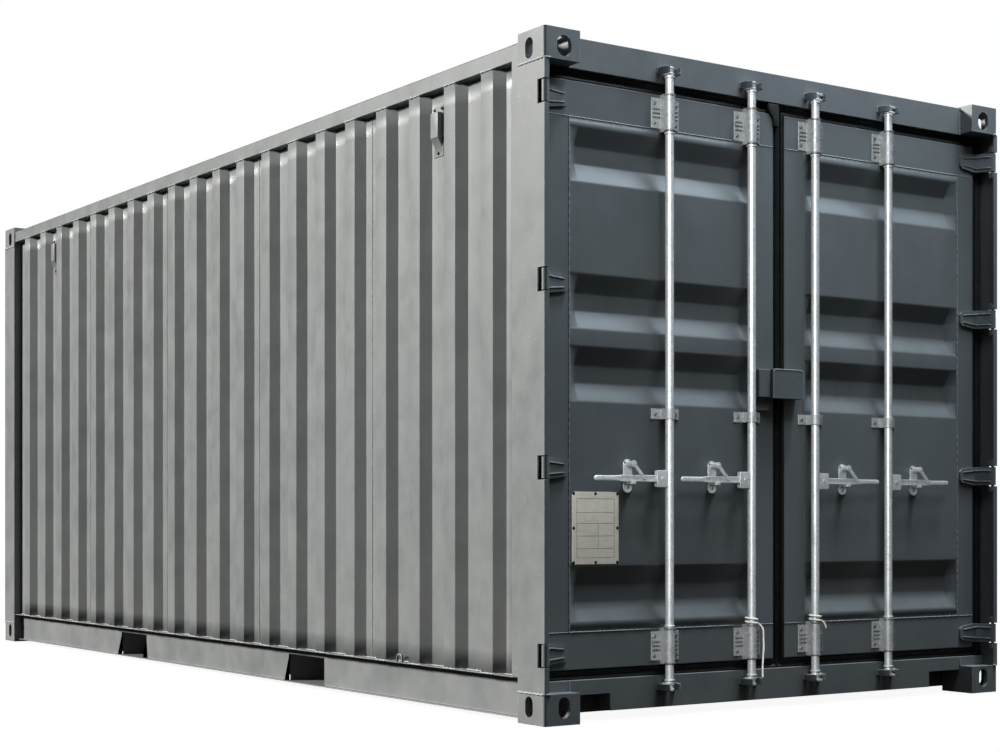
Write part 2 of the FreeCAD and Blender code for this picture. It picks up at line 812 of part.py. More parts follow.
def lock_bar(sign, place):
    """A tube with a cam at each end and the two hub plates that carry its handle."""
    bar_x = sign * place
    tube = Part.makeCylinder(bar_radius, bar_high - bar_low, FreeCAD.Vector(bar_x, bar_y, bar_low))
    pieces = [tube]
    for low in (bar_low, bar_high - cam_height):
        foot = FreeCAD.Vector(bar_x, bar_y, low)
        horn = Part.makeCylinder(cam_reach, cam_height, foot)
        keep = box(bar_x, bar_x + sign * cam_reach, bar_y - cam_waist, bar_y + cam_waist,
                   low, low + cam_height)
        pieces.append(horn.common(keep))
        pieces.append(Part.makeCylinder(cam_waist, cam_height, foot))
    gap = handle_thickness / 2 + plate_clearance
    hub_low = handle_height - hub_depth / 2
    hub_high = handle_height + hub_depth / 2
    for y0 in (bar_y - gap - hub_plate, bar_y + gap):
        pieces.append(box(bar_x + sign * hub_inner, bar_x + sign * hub_outer, y0, y0 + hub_plate,
                          hub_low, hub_high))
    rivet_x = bar_x + sign * handle_rivet
    pieces.append(Part.makeCylinder(rivet_radius, 2 * (gap + hub_plate + rivet_head),
                                    FreeCAD.Vector(rivet_x, bar_y - gap - hub_plate - rivet_head,
                                                   handle_height), Y))
    shape = fused(pieces)
    bore = Part.makeCylinder(bar_radius - bar_wall, bar_high - bar_low - 2 * cam_height,
                             FreeCAD.Vector(bar_x, bar_y, bar_low + cam_height))
    return shape.cut(bore)


def handle(sign, place):
    """A flat lever on the hub's rivet, thinner in height towards its grip."""
    bar_x = sign * place
    rivet_x = bar_x + sign * handle_rivet
    tip_x = bar_x + sign * handle_reach
    half = handle_depth / 2
    tip_half = handle_tip_depth / 2
    middle_x = bar_x + sign * (handle_reach - grip_length)
    outline = [(rivet_x - sign * handle_heel, handle_height - half), (middle_x, handle_height - half),
               (tip_x, handle_height - tip_half), (tip_x, handle_height + tip_half),
               (middle_x, handle_height + half), (rivet_x - sign * handle_heel, handle_height + half)]
    lever = prism(outline, "y", bar_y - handle_thickness / 2, bar_y + handle_thickness / 2)
    bore = Part.makeCylinder(rivet_radius + rivet_clearance, handle_thickness + 2 * past,
                             FreeCAD.Vector(rivet_x, bar_y - handle_thickness / 2 - past,
                                            handle_height), Y)
    return lever.cut(bore)


def catch(sign, place):
    """The small swinging plate that closes over a handle, pivoted on its retainer."""
    middle = sign * (place + retainer_place)
    half = catch_width / 2
    arm = box(middle, middle + catch_length, catch_front, catch_front + catch_plate,
              catch_pivot - half, catch_pivot + half)
    eye = Part.makeCylinder(catch_width, catch_plate,
                            FreeCAD.Vector(middle, catch_front, catch_pivot), Y)
    tip = Part.makeCylinder(half, catch_plate,
                            FreeCAD.Vector(middle + catch_length, catch_front, catch_pivot), Y)
    shape = fused([arm, eye, tip])
    bore = Part.makeCylinder(rivet_radius + rivet_clearance, catch_plate + 2 * past,
                             FreeCAD.Vector(middle, catch_front - past, catch_pivot), Y)
    shape = shape.cut(bore)
    shape.rotate(FreeCAD.Vector(middle, 0, catch_pivot), Y, catch_lean)
    return shape


# ---- lock fittings ----
def cam_keepers():
    """Cups on the header and the sill that hold the bars' cams."""
    inner = cam_reach + keeper_clearance
    outer = inner + keeper_wall
    cups = []
    for sign in (-1, 1):
        for place in bar_places:
            bar_x = sign * place
            for low in (bar_low + keeper_rise, bar_high - cam_height + keeper_rise):
                cup = Part.makeCylinder(outer, keeper_height, FreeCAD.Vector(bar_x, bar_y, low))
                back = box(bar_x - outer, bar_x + outer, bar_y, header_front, low,
                           low + keeper_height)
                shape = cup.fuse(back)
                shape = shape.common(box(bar_x - outer, bar_x + outer, bar_y - outer,
                                         header_front, low, low + keeper_height))
                shape = shape.cut(Part.makeCylinder(inner, keeper_height + 2 * past,
                                                    FreeCAD.Vector(bar_x, bar_y, low - past)))
                shape = shape.cut(box(bar_x - keeper_mouth, bar_x + keeper_mouth, bar_y - outer - past,
                                      header_front + past, low - past, low + keeper_height + past))
                cups.append(shape)
    return loose(cups)


def lock_box_left():
    """The half of the padlock cover that is on the left leaf, and a small keeper under it."""
    x0, x1 = hidden_box_edges
    cover_front = leaf_front - hidden_box_depth
    low = lock_box_low + hidden_box_inset
    high = lock_box_high - hidden_box_inset
    shell = box(x0, x1, cover_front, leaf_front, low, high)
    shell = shell.cut(box(x0 + lock_box_plate, x1 + past, cover_front + lock_box_plate,
                          leaf_front + past, low - past, high - lock_box_plate))
    stub_low = lock_box_low - stub_drop
    stub = box(x0, x0 + stub_width, leaf_front - stub_depth, leaf_front, stub_low,
               stub_low + stub_height)
    return loose([shell, stub])


def lock_box_right():
    """The half on the right leaf, which reaches over the meeting edge of the left one."""
    x0, x1 = lock_box_edges
    cover_front = leaf_front - lock_box_depth
    shell = box(x0, x1, cover_front, leaf_front, lock_box_low, lock_box_high)
    shell = shell.cut(box(x0 - past, leaf_inner + lock_box_relief, leaf_front - lock_box_lift,
                          leaf_front + past, lock_box_low - past, lock_box_high + past))
    return shell.cut(box(x0 + lock_box_plate, x1 - lock_box_plate, cover_front + lock_box_plate,
                         leaf_front + past, lock_box_low - past, lock_box_high - lock_box_plate))


def data_plate():
    x, z = plate_middle
    width, tall = plate_size
    return box(x - width / 2, x + width / 2, leaf_front - plate_thickness, leaf_front,
               z - tall / 2, z + tall / 2)


def vents():
    """Small covers in a fold of the side walls near both ends, with a flange above and below."""
    first = -((side_waves - 1) * side_pitch + side_crest) / 2
    middle = first + vent_wave * side_pitch + (side_pitch + side_crest) / 2
    face = -wall_face + side_depth
    half = vent_width / 2
    top = vent_height + vent_tall / 2
    low = vent_height - vent_tall / 2
    outline = [(face, top), (face - vent_deep, top), (face - vent_deep, low + vent_slope), (face, low)]
    hood = prism(outline, "y", middle - half, middle + half)
    flange = box(face - vent_plate, face, middle - half - vent_side, middle + half + vent_side,
                 low - vent_flange, top + vent_flange)
    vent = fused([hood, flange])
    return loose([vent, swap_side(vent), swap_end(vent), swap_side(swap_end(vent))])


def tie_back_hooks():
    """Bent rods on the lower rails that hold an open door's rope."""
    first = -((side_waves - 1) * side_pitch + side_crest) / 2
    middle = first + hook_wave * side_pitch + (side_pitch + side_crest) / 2
    x = -wall_face + hook_from_face
    near = middle - hook_run / 2
    far = middle + hook_run / 2
    top = rail_top + hook_rise
    pieces = [
        Part.makeCylinder(hook_radius, hook_rise, FreeCAD.Vector(x, near, rail_top)),
        Part.makeCylinder(hook_radius, hook_rise, FreeCAD.Vector(x, far, rail_top)),
        Part.makeCylinder(hook_radius, hook_run, FreeCAD.Vector(x, near, top), Y),
        Part.makeSphere(hook_radius, FreeCAD.Vector(x, near, top)),
        Part.makeSphere(hook_radius, FreeCAD.Vector(x, far, top)),
    ]
    hook = fused(pieces)
    return loose([hook, swap_side(hook)])


# ---- door ropes ----
def rope(points, name):
    """A round cord of straight runs joined by arcs as large as the runs allow."""
    points = [FreeCAD.Vector(*point) for point in points]
    edges = []
    start = points[0]
    total = 0.0
    radii = []
    for index in range(1, len(points) - 1):
        corner = points[index]
        back = points[index - 1] - corner
        ahead = points[index + 1] - corner
        turn = math.pi - back.getAngle(ahead)
        reach = arc_share * min(back.Length, ahead.Length)
        radius = reach / math.tan(turn / 2)
        radii.append(round(radius / rope_diameter, 1))
        first = corner + FreeCAD.Vector(back).normalize() * reach
        last = corner + FreeCAD.Vector(ahead).normalize() * reach
        inward = (FreeCAD.Vector(back).normalize() + FreeCAD.Vector(ahead).normalize()).normalize()
        middle = corner + inward * (radius / math.cos(turn / 2) - radius)
        edges.append(Part.LineSegment(start, first).toShape())
        edges.append(Part.Arc(first, middle, last).toShape())
        total += start.distanceToPoint(first) + radius * turn
        start = last
    edges.append(Part.LineSegment(start, points[-1]).toShape())
    total += start.distanceToPoint(points[-1])
    heading = (points[1] - points[0]).normalize()
    circle = Part.Wire(Part.makeCircle(rope_diameter / 2, points[0], heading))
    shape = Part.Wire(edges).makePipeShell([circle], True, False)
    section = math.pi * rope_diameter ** 2 / 4
    print(name, "length", round(total), "volume ratio", round(shape.Volume / section / total, 4),
          "radii in diameters", radii)
    return shape


def loop_points(bar_x):
    """Points of a falling loop round a lock bar, over its lower bracket."""
    points = []
    count = int(round(rope_turns * rope_steps))
    for step in range(count + 1):
        angle = math.radians(rope_start + 360.0 * step / rope_steps)
        points.append((bar_x + rope_loop * math.cos(angle), bar_y + rope_loop * math.sin(angle),
                       rope_seat + rope_rise - rope_fall * step / rope_steps))
    return points


def left_rope():
    bar_x = -bar_places[1]
    route = loop_points(bar_x)
    route += [(bar_x + 44, bar_y - 14, 332.0), (bar_x + 52, bar_y - 12, 312.0),
              (bar_x + 54, bar_y - 10, 284.0), (bar_x + 56, bar_y - 9, 244.0),
              (bar_x + 53, bar_y - 8, 200.0), (bar_x + 50, bar_y - 8, 160.0),
              (bar_x + 52, bar_y - 8, 128.0)]
    return rope(route, "left rope")


def right_rope():
    bar_x = bar_places[1]
    route = loop_points(bar_x)
    route += [(bar_x + 44, bar_y - 12, 334.0), (bar_x + 52, bar_y - 8, 316.0)]
    return rope(route, "right rope")


# ---- the whole container ----
def build():
    """Every node of the container, by name."""
    nodes = {}
    for top, level in ((False, "bottom"), (True, "top")):
        left = casting(top)
        for end, turn in (("door", None), ("closed", swap_end)):
            near = turn(left) if turn else left
            nodes["castings_" + end + "_" + level] = loose([near, swap_side(near)])
    nodes["door_header"] = door_header()
    nodes["door_sill"] = door_sill()
    pairs = {
        "door_post": door_post(), "closed_post": closed_post(), "top_rail": top_side_rail(),
        "bottom_rail": bottom_side_rail(), "side_wall": side_wall(),
    }
    for name, shape in pairs.items():
        nodes[name + "_left"] = shape
        nodes[name + "_right"] = swap_side(shape)
    nodes["closed_end_header"] = closed_end_header()
    nodes["closed_end_sill"] = closed_end_sill()
    nodes["end_wall"] = end_wall()
    nodes["roof"] = roof()
    nodes["floor_boards"] = floor_boards()
    nodes["cross_members"] = cross_members()
    nodes["forklift_pocket_sides"] = pocket_sides()
    nodes["forklift_pocket_plates"] = pocket_plates()
    nodes["vents"] = vents()
    nodes["cam_keepers"] = cam_keepers()
    nodes["tie_back_hooks"] = tie_back_hooks()
    leaf = {
        "frame": leaf_frame(), "panel": leaf_panel(), "seal": leaf_seal(), "hinges": leaf_hinges(),
    }
    for name, shape in leaf.items():
        nodes["left_door_" + name] = shape
        nodes["right_door_" + name] = swap_side(shape)
    for side, sign in (("left", -1), ("right", 1)):
        nodes[side + "_door_brackets"] = leaf_brackets(sign)
        nodes[side + "_door_retainers"] = leaf_retainers(sign)
        for place, which in zip(bar_places, ("outer", "inner")):
            nodes[side + "_" + which + "_bar"] = lock_bar(sign, place)
            nodes[side + "_" + which + "_handle"] = handle(sign, place)
            nodes[side + "_" + which + "_catch"] = catch(sign, place)
    nodes["left_lock_box"] = lock_box_left()
    nodes["right_lock_box"] = lock_box_right()
    nodes["data_plate"] = data_plate()
    nodes["left_rope"] = left_rope()
    nodes["right_rope"] = right_rope()
    return nodes


os.makedirs("parts", exist_ok=True)
model = build()
for name, shape in model.items():
    shape.exportStep("parts/" + name + ".step")
    solids = shape.Solids
    print(name, len(solids), "solids, valid", all(solid.isValid() for solid in solids))
print(len(model), "nodes")
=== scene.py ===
import json
import math

import bmesh
import bpy
import numpy as np
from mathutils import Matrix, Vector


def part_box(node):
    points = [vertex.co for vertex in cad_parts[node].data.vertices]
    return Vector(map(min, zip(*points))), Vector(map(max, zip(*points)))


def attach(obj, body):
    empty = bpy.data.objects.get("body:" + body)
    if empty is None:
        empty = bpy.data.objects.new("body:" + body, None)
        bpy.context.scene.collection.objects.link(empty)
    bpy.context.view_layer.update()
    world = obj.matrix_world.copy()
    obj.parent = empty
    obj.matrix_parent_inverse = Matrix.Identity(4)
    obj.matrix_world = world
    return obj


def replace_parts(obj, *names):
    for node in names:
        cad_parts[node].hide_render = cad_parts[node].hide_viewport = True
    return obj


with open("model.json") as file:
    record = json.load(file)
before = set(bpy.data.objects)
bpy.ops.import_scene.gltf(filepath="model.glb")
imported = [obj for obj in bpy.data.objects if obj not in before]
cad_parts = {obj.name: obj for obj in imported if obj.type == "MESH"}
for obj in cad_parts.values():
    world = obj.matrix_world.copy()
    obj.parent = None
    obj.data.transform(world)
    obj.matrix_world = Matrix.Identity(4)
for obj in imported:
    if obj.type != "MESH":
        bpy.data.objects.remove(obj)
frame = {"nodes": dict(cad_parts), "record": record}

# A twenty-foot shipping container, seen at its door end. Metres, +Z up, doors at -Y.
# The construction pieces come with the frame. Here each gets its finish, and most are
# stood for by a piece with rounded bends, welds, rivets and pressings.

print("stage: frame loaded")
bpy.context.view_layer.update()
nodes = frame["nodes"]
bodyOf = {node: body for body, members in frame["record"]["behaviour"]["bodies"].items() for node in members}
slotOf = {part["node"]: part["material_slot"] for part in frame["record"]["subparts"]}
sides = {"left": -1, "right": 1}
gearSlots = ("galvanised", "data_metal", "rope_fibre")


def turnLoop(count):
    # angles of a full turn, the last one short of the first
    return np.arange(count) * 2 * math.pi / count


def unit(vectors):
    # each vector over its own length
    return vectors / np.maximum(np.linalg.norm(vectors, axis=-1, keepdims=True), 1e-9)


def quads(rows, columns, wrapRows=False, wrapColumns=False):
    # the four corners of each cell of a rows by columns grid of points
    r = np.arange(rows if wrapRows else rows - 1)[:, None]
    c = np.arange(columns if wrapColumns else columns - 1)[None, :]
    r2 = (r + 1) % rows
    c2 = (c + 1) % columns
    cells = np.stack([r * columns + c, r * columns + c2, r2 * columns + c2, r2 * columns + c], -1)
    return cells.reshape(-1, 4)


def surface(grid, wrapRows=False, wrapColumns=False, capStart=False, capEnd=False):
    # a grid of points, rows x columns x 3, as one part: its points and its faces
    rows, columns = grid.shape[:2]
    faces = quads(rows, columns, wrapRows, wrapColumns).tolist()
    if capStart:
        faces.append(list(range(columns))[::-1])
    if capEnd:
        faces.append(list(range((rows - 1) * columns, rows * columns)))
    return grid.reshape(-1, 3), faces


def together(parts):
    # several parts as one, with the later faces counted on from the earlier points
    points, faces, start = [], [], 0
    for partPoints, partFaces in parts:
        points.append(partPoints)
        faces.extend([[index + start for index in face] for face in partFaces])
        start += len(partPoints)
    return np.concatenate(points), faces


def roundCorners(points, radius, steps=4, closed=True):
    # each corner becomes an arc of the given radius: centre + radius x (cos, sin) between two tangent points
    points = np.asarray(points, float)
    before = np.roll(points, 1, 0) - points
    after = np.roll(points, -1, 0) - points
    if not closed:
        before, after, corners = before[1:-1], after[1:-1], points[1:-1]
    else:
        corners = points
    lengthBefore = np.linalg.norm(before, axis=1)
    lengthAfter = np.linalg.norm(after, axis=1)
    before = before / lengthBefore[:, None]
    after = after / lengthAfter[:, None]
    half = np.arccos(np.clip((before * after).sum(1), -1, 1)) / 2
    reach = np.minimum(radius / np.tan(half), 0.49 * np.minimum(lengthBefore, lengthAfter))
    bend = reach * np.tan(half)
    centre = corners + unit(before + after) * (bend / np.sin(half))[:, None]
    first = corners + before * reach[:, None] - centre
    last = corners + after * reach[:, None] - centre
    sweep = np.arctan2(first[:, 0] * last[:, 1] - first[:, 1] * last[:, 0], (first * last).sum(1))
    share = np.linspace(0, 1, steps + 1)[None, :]
    angle = np.arctan2(first[:, 1], first[:, 0])[:, None] + sweep[:, None] * share
    arcs = centre[:, None, :] + bend[:, None, None] * np.stack([np.cos(angle), np.sin(angle)], -1)
    line = arcs.reshape(-1, 2)
    return line if closed else np.concatenate([points[:1], line, points[-1:]])


def inset(outline, distance):
    # an outline that runs anticlockwise, moved inwards along the bisector of its two neighbours
    along = unit(np.roll(outline, -1, 0) - np.roll(outline, 1, 0))
    return outline + np.stack([-along[:, 1], along[:, 0]], 1) * distance


axisOrder = {"x": (2, 0, 1), "y": (0, 2, 1), "z": (0, 1, 2)}


def placed(flat, level, axis):
    # flat points and their level along an axis, as points in space
    stacked = np.concatenate([flat, np.broadcast_to(level, flat.shape[:-1])[..., None]], -1)
    return stacked[..., axisOrder[axis]]


def slab(outline, axis, near, far, edge=0.001, edgeNear=0.0):
    # an outline pushed from near to far, with its rims rounded: rings of the outline at each
    # level, inset by edge x (1 - cos a) while the level comes edge x (1 - sin a) short
    outline = np.asarray(outline, float)
    area = (outline[:, 0] * np.roll(outline[:, 1], -1) - outline[:, 1] * np.roll(outline[:, 0], -1)).sum()
    if area < 0:
        outline = outline[::-1]
    away = 1 if far > near else -1
    turns = np.linspace(0, math.pi / 2, 4)
    rings, levels = [], []
    if edgeNear:
        for turn in turns[::-1]:
            rings.append(inset(outline, edgeNear * (1 - math.cos(turn))))
            levels.append(near + away * edgeNear * (1 - math.sin(turn)))
    else:
        rings.append(outline)
        levels.append(near)
    for turn in turns:
        rings.append(inset(outline, edge * (1 - math.cos(turn))))
        levels.append(far - away * edge * (1 - math.sin(turn)))
    grid = placed(np.stack(rings), np.array(levels)[:, None], axis)
    return surface(grid, wrapColumns=True, capStart=True, capEnd=True)


def rectangle(x0, x1, y0, y1, radius):
    return roundCorners([(x0, y0), (x1, y0), (x1, y1), (x0, y1)], radius, 3)


def block(low, high, radius):
    # a box whose edges and corners are rounded to one radius
    low, high = np.minimum(low, high), np.maximum(low, high)
    outline = rectangle(low[0], high[0], low[1], high[1], radius)
    return slab(outline, "z", low[2], high[2], radius * 0.98, radius * 0.98)


def lathe(profile, centre, axis, count=16):
    # a profile of (radius, distance along the axis), turned round the axis
    profile = np.asarray(profile, float)
    angle = turnLoop(count)
    flat = profile[:, None, :1] * np.stack([np.cos(angle), np.sin(angle)], -1)[None]
    grid = placed(flat, profile[:, 1][:, None], axis) + np.asarray(centre, float)
    closedEnds = [profile[0, 0] > 1e-6, profile[-1, 0] > 1e-6]
    return surface(grid, wrapColumns=True, capStart=closedEnds[0], capEnd=closedEnds[1])


def carry(path, profile, up=(0, 0, 1), scale=1.0):
    # a closed profile carried along a path: path point + u x sideways + v x upwards
    path = np.asarray(path, float)
    ahead = unit(np.gradient(path, axis=0))
    sideways = unit(np.cross(np.broadcast_to(up, path.shape), ahead))
    upwards = np.cross(ahead, sideways)
    profile = profile[None] * np.broadcast_to(scale, len(path))[:, None, None]
    grid = (path[:, None, :] + profile[..., :1] * sideways[:, None, :]
            + profile[..., 1:] * upwards[:, None, :])
    return surface(grid, wrapColumns=True, capStart=True, capEnd=True)


def circle(radius, count=12):
    angle = turnLoop(count)
    return radius * np.stack([np.cos(angle), np.sin(angle)], 1)


def mirrored(part, sign):
    # the same part for the other side of the middle
    points, faces = part
    if sign > 0:
        return part
    return points * np.array([-1.0, 1.0, 1.0]), [face[::-1] for face in faces]


def spread(value, seed):
    # a smooth wandering number for each value: a few sines of unlike length
    rng = np.random.default_rng(abs(seed))
    total = 0.0
    for octave in range(4):
        pace, start = 1.7 ** octave * rng.uniform(0.8, 1.2), rng.uniform(0, 6.28)
        total = total + np.sin(value * pace + start) / (octave + 1.5)
    return total


def settle(name, mesh, finish, body, slot, smoothAngle):
    # makes a mesh an object with smooth faces, its finish and its body; a piece of a gear slot also joins the
    # gear panel's group
    mesh.materials.clear()
    mesh.materials.append(finish)
    mesh.polygons.foreach_set("use_smooth", np.ones(len(mesh.polygons), bool))
    mesh.set_sharp_from_angle(angle=math.radians(smoothAngle))
    piece = bpy.data.objects.new(name, mesh)
    bpy.context.scene.collection.objects.link(piece)
    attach(piece, body)
    if slot in gearSlots:
        gearGroup.objects.link(piece)
    return piece


def addPiece(name, part, body, slot, finish, closed=True, smoothAngle=38):
    # one finished object from points and faces; a closed one gets its faces turned outwards
    points, faces = part
    mesh = bpy.data.meshes.new(name)
    mesh.from_pydata(np.asarray(points, float).tolist(), [], faces)
    work = bmesh.new()
    work.from_mesh(mesh)
    if closed:
        bmesh.ops.remove_doubles(work, verts=work.verts, dist=1e-6)
        bmesh.ops.recalc_face_normals(work, faces=work.faces)
    work.to_mesh(mesh)
    work.free()
    return settle(name, mesh, finish, body, slot, smoothAngle)


rounding = {"merge": 1e-5, "flat": 0.6, "sharp": 25, "from": 30}    # metres, then degrees


def roundedCopy(node, width, finish, segments):
    # a merged copy of a construction piece, with rounded edges, that stands for it
    mesh = nodes[node].data.copy()
    work = bmesh.new()
    work.from_mesh(mesh)
    bmesh.ops.remove_doubles(work, verts=work.verts, dist=rounding["merge"])
    bmesh.ops.dissolve_limit(work, angle_limit=math.radians(rounding["flat"]), verts=work.verts,
                             edges=work.edges)
    work.to_mesh(mesh)
    work.free()
    piece = settle(node + "_rounded", mesh, finish, bodyOf[node], slotOf[node], rounding["sharp"])
    bevel = piece.modifiers.new("roundedEdges", "BEVEL")
    bevel.width = width
    bevel.segments = segments
    bevel.limit_method = "ANGLE"
    bevel.angle_limit = math.radians(rounding["from"])
    bevel.harden_normals = True
    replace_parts(piece, node)


def sheetWall(piece, thickness):
    # gives a sheet surface its real thickness, inwards
    wall = piece.modifiers.new("sheetThickness", "SOLIDIFY")
    wall.thickness = thickness
    wall.offset = -1.0
    return piece


def newFinish(name):
    # a material, its node tree, and the place of each point in the part's own metres
    finish = bpy.data.materials.new(name)
    finish.use_nodes = True
    return finish, finish.node_tree, put(finish.node_tree, "TexCoord").outputs["Object"]


def put(tree, kind, inputs=(), **settings):
    # a node with its settings; an input that is given another node's socket is linked to it
    node = tree.nodes.new("ShaderNode" + kind)
    for key, value in settings.items():
        setattr(node, key, value)
    for key, value in dict(inputs).items():
        if isinstance(value, bpy.types.NodeSocket):
            tree.links.new(value, node.inputs[key])
        else:
            node.inputs[key].default_value = value
    return node


def dress(finish, colour, rough, normal, metallic=0.0, specular=0.5):
    # joins the worked-out colour, roughness and normal to the finish's shader
    shader = finish.node_tree.nodes["Principled BSDF"]
    for label, socket in (("Base Color", colour), ("Roughness", rough), ("Normal", normal)):
        finish.node_tree.links.new(socket, shader.inputs[label])
    shader.inputs["Metallic"].default_value = metallic
    shader.inputs["Specular IOR Level"].default_value = specular
    return finish


def noise(tree, place, scale, detail=3.0, stretch=None, rough=0.55):
    if stretch:
        place = put(tree, "Mapping", {"Vector": place, "Scale": stretch}).outputs[0]
    inputs = {"Vector": place, "Scale": scale, "Detail": detail, "Roughness": rough}
    return put(tree, "TexNoise", inputs).outputs[0]


def band(tree, value, low, high, first=0.0, last=1.0):
    # a number that goes from first to last as value goes from low to high
    return put(tree, "MapRange", {0: value, 1: low, 2: high, 3: first, 4: last}).outputs[0]


def sums(tree, operation, a, b):
    return put(tree, "Math", {0: a, 1: b}, operation=operation).outputs[0]


def times(tree, a, b):
    return sums(tree, "MULTIPLY", a, b)


def blendColour(tree, factor, a, b):
    return put(tree, "Mix", {0: factor, 6: a, 7: b}, data_type="RGBA").outputs[2]


def relief(tree, height, strength, distance, under=None):
    # a bump from a height, on top of another bump where there is one
    inputs = {"Strength": strength, "Distance": distance, "Height": height}
    return put(tree, "Bump", {**inputs, "Normal": under} if under else inputs).outputs[0]


def grey(level, tint=1.0):
    # a grey that leans to blue and green by its tint
    return level * (1.0 - 0.065 * tint), level, level * (1.0 - 0.005 * tint), 1.0


def edgeWearAndHighlightMask(tree, place, radius, strength):
    # bright where a rounded normal leaves the true one, broken up by a fine noise: paler edges that are
    # partly wear and partly a painted highlight
    soft = put(tree, "Bevel", {"Radius": radius}, samples=4).outputs[0]
    true = put(tree, "NewGeometry").outputs["Normal"]
    same = put(tree, "VectorMath", {0: soft, 1: true}, operation="DOT_PRODUCT").outputs["Value"]
    edge = band(tree, same, 0.995, 0.90)
    broken = band(tree, noise(tree, place, 38.0, 5.0), 0.47, 0.62)
    return times(tree, times(tree, edge, broken), strength)


def paintFinish(name, look):
    # one grey in broad clouds, with streaks, dust that thins upwards, pale flecks and paler edges that are
    # partly wear and partly painted highlight
    finish, tree, place = newFinish(name)
    tone = look["colour"]
    height = put(tree, "SeparateXYZ", {0: place}).outputs[2]
    cloud = noise(tree, place, 8.0, 5.0, rough=0.6)
    streak = band(tree, noise(tree, place, 3.0, 4.0, (9.0, 9.0, 0.55)), 0.55, 0.80, 0.0, look["streaks"])
    broad = noise(tree, place, 1.1, 4.0)
    colour = blendColour(tree, band(tree, broad, 0.3, 0.7), grey(tone * 0.90), grey(tone * 1.08))
    colour = blendColour(tree, band(tree, cloud, 0.35, 0.75, 0.0, 0.35), colour, grey(tone * 1.22))
    colour = blendColour(tree, streak, colour, grey(tone * 0.66))
    dustAt = times(tree, band(tree, height, 1.0, 0.05, 0.0, look["dust"]),
                   band(tree, noise(tree, place, 4.5, 6.0), 0.35, 0.7))
    colour = blendColour(tree, dustAt, colour, look["dustColour"])
    fleckPatch = band(tree, noise(tree, place, 5.0, 3.0), 0.46, 0.60)
    fleck = times(tree, band(tree, noise(tree, place, look["fleckScale"], 2.0), 0.705, 0.73), fleckPatch)
    colour = blendColour(tree, times(tree, fleck, look["flecks"]), colour, grey(0.52, 0.4))
    # paler edges: partly worn paint, partly a painted highlight along every edge
    wornAndHighlit = edgeWearAndHighlightMask(tree, place, look["wearAndHighlightReach"], look["wearAndHighlight"])
    colour = blendColour(tree, wornAndHighlit, colour, grey(0.42, 0.5))
    rough = band(tree, cloud, 0.3, 0.7, look["roughness"] - 0.07, look["roughness"] + 0.09)
    grain = relief(tree, noise(tree, place, 420.0, 2.0), look["peel"], 0.0006)
    waves = relief(tree, noise(tree, place, 6.0, 3.0), look["ripple"], 0.004, grain)
    return dress(finish, colour, sums(tree, "ADD", rough, times(tree, dustAt, 0.25)), waves, specular=0.45)


def zincFinish(name, look):
    # hot-dip zinc: cells of unlike brightness, dull patches, dark specks and a few stains
    finish, tree, place = newFinish(name)
    cells = put(tree, "TexVoronoi", {"Vector": place, "Scale": look["spangle"], "Randomness": 1.0})
    cell = put(tree, "SeparateXYZ", {0: cells.outputs["Color"]}).outputs[0]
    patch = noise(tree, place, 22.0, 5.0, rough=0.65)
    colour = blendColour(tree, cell, grey(look["dull"], 0.6), grey(look["bright"], 0.4))
    colour = blendColour(tree, band(tree, patch, 0.35, 0.7, 0.0, 0.65), colour, grey(look["pale"], 0.3))
    speck = band(tree, noise(tree, place, 260.0, 3.0), 0.60, 0.68, 0.0, look["specks"])
    colour = blendColour(tree, speck, colour, grey(0.13, 0.3))
    stain = times(tree, band(tree, noise(tree, place, 12.0, 4.0, (4.0, 4.0, 0.7)), 0.56, 0.72), 0.45)
    colour = blendColour(tree, stain, colour, (0.27, 0.27, 0.265, 1.0))
    rough = band(tree, patch, 0.3, 0.7, look["roughness"] - 0.08, look["roughness"] + 0.14)
    height = sums(tree, "ADD", noise(tree, place, 150.0, 4.0), times(tree, cell, 0.12))
    return dress(finish, colour, rough, relief(tree, height, 0.35, 0.0008), look["metallic"])


def rubberFinish(name, look):
    # a dark matt skin with pale dust in patches
    finish, tree, place = newFinish(name)
    cloud = noise(tree, place, 14.0, 5.0)
    dark, light = grey(look["dark"], 0.2), grey(look["light"], 0.2)
    colour = blendColour(tree, band(tree, cloud, 0.35, 0.7), dark, light)
    dusty = band(tree, noise(tree, place, 45.0, 6.0), 0.56, 0.75, 0.0, look["dust"])
    colour = blendColour(tree, dusty, colour, (0.13, 0.125, 0.115, 1.0))
    skin = relief(tree, noise(tree, place, 90.0, 4.0), 0.3, 0.001)
    return dress(finish, colour, band(tree, cloud, 0.3, 0.7, 0.5, 0.72), skin)


def plywoodFinish(name, look):
    # rotary-cut veneer: rings of a stretched noise, worn paler where it is walked on
    finish, tree, place = newFinish(name)
    grain = noise(tree, place, 2.2, 6.0, (9.0, 0.8, 9.0), 0.6)
    rings = put(tree, "Math", {0: times(tree, grain, 26.0)}, operation="SINE").outputs[0]
    colour = blendColour(tree, band(tree, rings, -1.0, 1.0), look["dark"], look["light"])
    fibre = noise(tree, place, 30.0, 4.0, (20.0, 1.0, 20.0))
    colour = blendColour(tree, band(tree, fibre, 0.5, 0.8, 0.0, 0.5), colour, (0.09, 0.045, 0.022, 1.0))
    scuff = band(tree, noise(tree, place, 1.6, 6.0, rough=0.65), 0.5, 0.75, 0.0, 0.45)
    colour = blendColour(tree, scuff, colour, (0.33, 0.28, 0.22, 1.0))
    return dress(finish, colour, band(tree, fibre, 0.3, 0.7, 0.5, 0.78), relief(tree, fibre, 0.4, 0.001))


